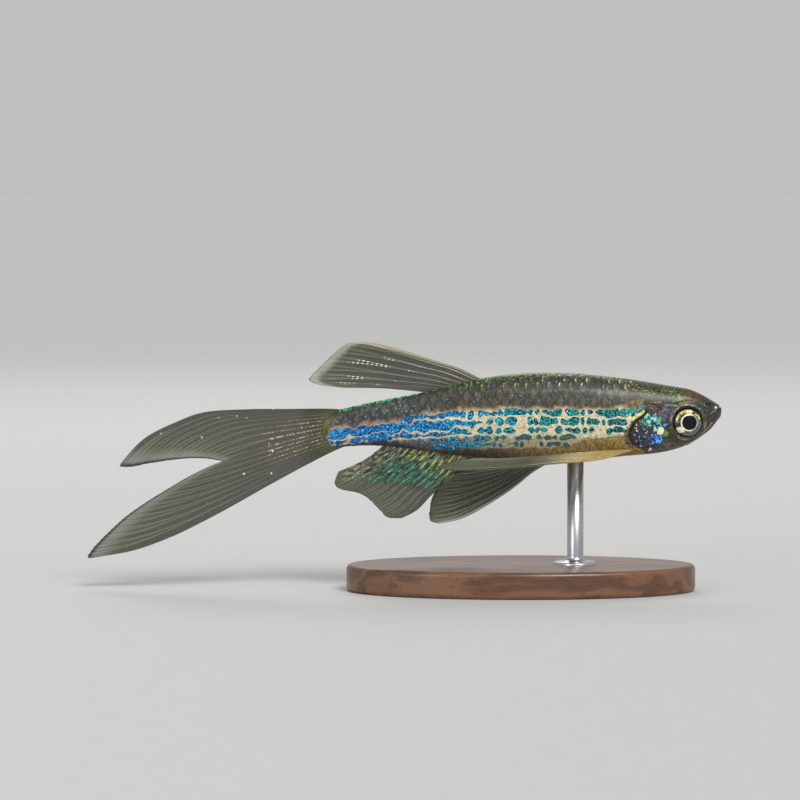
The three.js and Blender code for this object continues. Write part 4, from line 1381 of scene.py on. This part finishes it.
def barbels():
    bm = bmesh.new()
    for left in SIDES.values():
        for path, root in BARBELS:
            s, z = np.array(path, float).T
            lift = [-BARBEL_SINK, *(BARBEL_SPREAD * i for i in range(len(path) - 1))]
            out = np.array([half_width_at(*place) for place in path]) + lift
            barbel = strand(to_frame(s, left * out, z) / MM, root)
            bm.from_mesh(barbel)
            bpy.data.meshes.remove(barbel)
    add_piece(mesh_from(bm, "barbels"), barbel_finish())


def ray_profile(rays, u, v):
    """1 on a ray and 0 between the rays, each ray splitting twice on its way out."""
    apart = 1 / (rays - 1)
    nearest = np.round(u / apart) * apart
    off = (u - nearest) / apart
    branched = nearest > apart / 2
    first = 0.25 * smooth_step(v, RAY_BRANCHES[0], 1) * branched
    second = 0.125 * smooth_step(v, RAY_BRANCHES[1], 1.05) * branched
    width = 0.13 - 0.065 * v
    branches = [(a, b) for a in (-1, 1) for b in (-1, 1)]
    return np.max([bump(off, a * first + b * second, width) for a, b in branches], axis=0)


def patch_points(root, front, rear, edge, u, v):
    """Points of a four-sided patch, blended from its edges."""
    sides = along(root, u), along(edge, u), along(front, v), along(rear, v)
    u, v = u[:, None], v[:, None]
    corners = (root[0] * (1 - u) + root[-1] * u) * (1 - v)
    corners = corners + (edge[0] * (1 - u) + edge[-1] * u) * v
    shares = 1 - v, v, 1 - u, u
    return sum(side * share for side, share in zip(sides, shares)) - corners


def fin_mesh(name, left, sizes, fin, meets, place, across):
    """Thin closed sheet, thicker along its rays, on a patch between four edges."""
    rays = fin["rays"]
    mesh = unit_sheet(name, 2 * COLUMNS_PER_RAY * (rays - 1), FIN_ROWS)
    half, v, _ = places_of(mesh).T
    half = half * 2
    u = np.where(half > 1, 2 - half, half)
    face = np.where(half > 1, -1, 1)
    root = fin["root"]
    if meets:
        root = [[s, meets(s)] for s in np.linspace(*root, ROOT_POINTS)]
    front = curve_through([root[0], *fin["front"]])
    rear = curve_through([root[-1], *fin["rear"]])
    edge = curve_through([fin["front"][-1], *fin["edge"], fin["rear"][-1]])
    ray = ray_profile(rays, u, v)
    notch = FIN_NOTCH / np.linalg.norm(np.diff(front, axis=0), axis=1).sum()
    frayed = 0.3 * (np.sin(31 * u) + np.sin(83 * u + 1))
    uneven = 1.6 - ray_profile(rays, u, np.ones_like(v)) + frayed
    reach = v * (1 - notch * uneven * smooth_step(v, 0.8, 1))
    s, other = patch_points(curve_through(root), front, rear, edge, u, reach).T
    s, out, z = place(s, other, u, v)
    web, thick = sizes.web_thickness / MM, sizes.ray_thickness / MM
    thickness = web + (thick - web) * ray * (1 - RAY_TAPER * v)
    thickness = thickness + FIN_FOOT * bump(v, 0, FIN_FOOT_REACH)
    rims = (u, 0, 0.012), (u, 1, 0.988), (v, 1, 0.985), (v, 0, 0.01)
    rim = np.minimum.reduce([smooth_step(*way) for way in rims])
    rim[(np.minimum(u, v) < 1e-6) | (np.maximum(u, v) > 1 - 1e-6)] = 0
    across = np.array([0, left, 1]) * across / np.linalg.norm(across)
    offset = (face * thickness * np.sqrt(rim) / 2)[:, None] * across
    add_map(mesh, "fin_map", np.stack([u, v], axis=-1))
    add_value(mesh, "ray", ray)
    set_places(mesh, to_frame(s, left * out, z) + offset * MM)
    return closed(mesh)


def middle_place(s, z, u, v):
    wave = FIN_WAVE["reach"] * v * np.sin(FIN_WAVE["turn"] * u)
    ripple = 0.05 * v * v * np.sin(11 * u + 3 * v) + 0.03 * v * np.sin(23 * u - 6 * v)
    return s, wave + ripple, z


def pelvic_place(s, z, u, v):
    out = PELVIC_SIDES["root"] + (PELVIC_SIDES["tip"] - PELVIC_SIDES["root"]) * v
    ripple = 0.04 * v * np.sin(13 * u + 2 * v)
    return s, out - PELVIC_SIDES["rear_inset"] * u * v + ripple, z


def pectoral_place(s, out, u, v):
    front, rear = (read_table(rows)(v)[0] for rows in PECTORAL_HEIGHTS)
    return s, out, front * (1 - u) + rear * u + 0.04 * v * np.sin(12 * u)


def on_back(s):
    return skin_height(s, 0, 1) - ROOT_SINK


def on_belly(s):
    return skin_height(s, 0, -1) + ROOT_SINK


def by_pelvis(s):
    return skin_height(s, PELVIC_SIDES["root"], -1) + ROOT_SINK


def by_shoulder(s):
    return half_width_at(s, PECTORAL_ROOT_HEIGHT) - ROOT_SINK


# Each fin's outline, where it meets the body, its places, the way of its thickness and marks
MIDDLE_FINS = {
    "dorsal_fin": [DORSAL, on_back, middle_place, (0, 1, 0), dorsal_marks],
    "anal_fin": [ANAL, on_belly, middle_place, (0, 1, 0), anal_marks],
    "tail_fin_upper": [TAIL_UPPER, None, middle_place, (0, 1, 0), tail_marks],
    "tail_fin_lower": [TAIL_LOWER, None, middle_place, (0, 1, 0), tail_marks],
}
PAIRED_FINS = {
    "pelvic_fin": [PELVIC, by_pelvis, pelvic_place, (0, 1, 0.35), pelvic_marks],
    "pectoral_fin": [PECTORAL, by_shoulder, pectoral_place, (0, 0.45, 1), pectoral_marks],
}


def add_fins(fins, sides, settings):
    """Makes some fins on each of some sides, which share their finishes."""
    colours, sizes = settings.danio_colours, settings.danio_sizes
    finishes = {}
    for name, (*_, marks) in fins.items():
        finishes[name] = fin_finish(name.replace("_", " "), colours, marks)
    for side, left in sides.items():
        for name, (*form, _) in fins.items():
            mesh = fin_mesh(name + side + "_rayed", left, sizes, *form)
            add_piece(mesh, finishes[name], [name + side])


def stand_base():
    low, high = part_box("stand_base")
    bm = bmesh.new()
    bmesh.ops.create_cone(
        bm, cap_ends=True, cap_tris=False, segments=BASE_STEPS,
        radius1=0.5, radius2=0.5, depth=1,
    )
    bmesh.ops.scale(bm, verts=bm.verts, vec=high - low)
    bmesh.ops.translate(bm, verts=bm.verts, vec=(low + high) / 2)
    rims = [e for e in bm.edges if abs(e.verts[0].co.z - e.verts[1].co.z) < 1e-7]
    bmesh.ops.bevel(
        bm, geom=rims, offset=BASE_BEVEL * MM, affect="EDGES",
        segments=5, profile=0.5, material=-1,
    )
    return mesh_from(bm, "stand_base_turned")


def stand_rod():
    low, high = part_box("stand_rod")
    flange = (high.x - low.x) / 2 / MM
    top = SNOUT_HEIGHT + skin_height(ROD_S, 0, -1) + ROD_SINK - low.z / MM
    profile = [
        (0, 0), (flange - 0.05, 0), (flange, 0.05), (flange, 0.42), (flange - 0.05, 0.5),
        (flange - 0.15, 0.55), *ROD_PROFILE, (ROD_PROFILE[-1][0], top), (0, top),
    ]
    mesh = spun("stand_rod_turned", profile, ROD_STEPS)
    middle = (low + high) / 2
    set_places(mesh, places_of(mesh) * MM + [middle.x, middle.y, low.z])
    return closed(mesh)


def stand():
    base = add_piece(stand_base(), wood_finish(), ["stand_base"])
    base.data.shade_flat()
    add_piece(stand_rod(), steel_finish(), ["stand_rod"])


def aim(thing, direction):
    thing.rotation_euler = direction.to_track_quat("-Z", "Y").to_euler()


def stage(settings):
    bm = bmesh.new()
    bmesh.ops.create_circle(bm, cap_ends=True, segments=96, radius=FLOOR_RADIUS)
    floor = add_object("floor", mesh_from(bm, "floor"))
    floor.data.materials.append(floor_finish())
    scene = bpy.context.scene
    scene.world = bpy.data.worlds.new("soft room")
    scene.world.use_nodes = True
    room = scene.world.node_tree.nodes["Background"].inputs
    room["Color"].default_value = (1, 1, 0.99, 1)
    room["Strength"].default_value = ROOM_LIGHT
    scene.view_settings.view_transform = "Standard"
    sun = bpy.data.lights.new("key", "SUN")
    sun.energy = settings.key_power
    sun.angle = SUN_ANGLE
    aim(add_object("key", sun), SUN_DIRECTION)
    for name, (place, side) in LAMPS.items():
        lamp = bpy.data.lights.new(name, "AREA")
        lamp.shape = "SQUARE"
        lamp.size = side
        lamp.energy = settings.fill_power
        light = add_object(name, lamp)
        light.location = place
        aim(light, PHOTO_MIDDLE - Vector(place))
    lens = bpy.data.cameras.new("camera")
    lens.lens = settings.lens
    lens.sensor_width = SENSOR_WIDTH
    lens.clip_start = 0.005
    camera = add_object("camera", lens)
    far = PHOTO_PIXEL * PHOTO_SIDE * settings.lens / SENSOR_WIDTH
    away = Vector((0, -math.cos(CAMERA_ELEVATION), math.sin(CAMERA_ELEVATION)))
    camera.location = PHOTO_MIDDLE + away * far
    aim(camera, -away)
    scene.camera = camera


# Operators and panel


class DANIO_OT_skin(bpy.types.Operator):
    """Makes the skin of the head, torso and tail stem"""

    bl_idname = "danio.skin"
    bl_label = "Skin"

    def execute(self, context):
        body_skin()
        return {"FINISHED"}


class DANIO_OT_scales(bpy.types.Operator):
    """Lays the scales on both sides"""

    bl_idname = "danio.scales"
    bl_label = "Scales"

    def execute(self, context):
        for side, left in SIDES.items():
            scales("scales" + side, context.scene.danio_sizes, left)
        return {"FINISHED"}


class DANIO_OT_eyes(bpy.types.Operator):
    """Makes both eyes"""

    bl_idname = "danio.eyes"
    bl_label = "Eyes"

    def execute(self, context):
        finish = eye_finish()
        for side, left in SIDES.items():
            add_piece(eye("eyeball" + side, left), finish, ["eye" + side])
        return {"FINISHED"}


class DANIO_OT_barbels(bpy.types.Operator):
    """Makes the two pairs of barbels"""

    bl_idname = "danio.barbels"
    bl_label = "Barbels"

    def execute(self, context):
        barbels()
        return {"FINISHED"}


class DANIO_OT_middle_fins(bpy.types.Operator):
    """Makes the dorsal, anal and tail fins"""

    bl_idname = "danio.middle_fins"
    bl_label = "Middle fins"

    def execute(self, context):
        add_fins(MIDDLE_FINS, {"": 1}, context.scene)
        return {"FINISHED"}


class DANIO_OT_paired_fins(bpy.types.Operator):
    """Makes the pelvic and pectoral fins"""

    bl_idname = "danio.paired_fins"
    bl_label = "Paired fins"

    def execute(self, context):
        add_fins(PAIRED_FINS, SIDES, context.scene)
        return {"FINISHED"}


class DANIO_OT_stand(bpy.types.Operator):
    """Makes the display stand's base and rod"""

    bl_idname = "danio.stand"
    bl_label = "Stand"

    def execute(self, context):
        stand()
        return {"FINISHED"}


class DANIO_OT_stage(bpy.types.Operator):
    """Sets up the floor, lights and camera"""

    bl_idname = "danio.stage"
    bl_label = "Stage"

    def execute(self, context):
        stage(context.scene.danio_stage)
        return {"FINISHED"}


OPERATORS = [
    DANIO_OT_stage, DANIO_OT_skin, DANIO_OT_scales, DANIO_OT_eyes, DANIO_OT_barbels,
    DANIO_OT_middle_fins, DANIO_OT_paired_fins, DANIO_OT_stand,
]
SETTINGS = {"danio_sizes": DanioSizes, "danio_colours": DanioColours, "danio_stage": DanioStage}


class DANIO_PT_pieces(bpy.types.Panel):
    """Lists the settings and the pieces"""

    bl_idname = "DANIO_PT_pieces"
    bl_label = "Leopard danio"
    bl_space_type = "VIEW_3D"
    bl_region_type = "UI"
    bl_category = "Danio"

    def draw(self, context):
        for name in SETTINGS:
            settings = getattr(context.scene, name)
            for prop in settings.__annotations__:
                self.layout.prop(settings, prop)
        for operator in OPERATORS:
            self.layout.operator(operator.bl_idname)


def register():
    for name in (*SETTINGS.values(), *OPERATORS, DANIO_PT_pieces):
        bpy.utils.register_class(name)
    for name, group in SETTINGS.items():
        setattr(bpy.types.Scene, name, bpy.props.PointerProperty(type=group))


def unregister():
    for name in SETTINGS:
        delattr(bpy.types.Scene, name)
    for name in (DANIO_PT_pieces, *reversed(OPERATORS), *SETTINGS.values()):
        bpy.utils.unregister_class(name)


def main():
    register()
    for operator in OPERATORS:
        group, action = operator.bl_idname.split(".")
        getattr(getattr(bpy.ops, group), action)()
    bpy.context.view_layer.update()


if __name__ == "__main__":
    main()
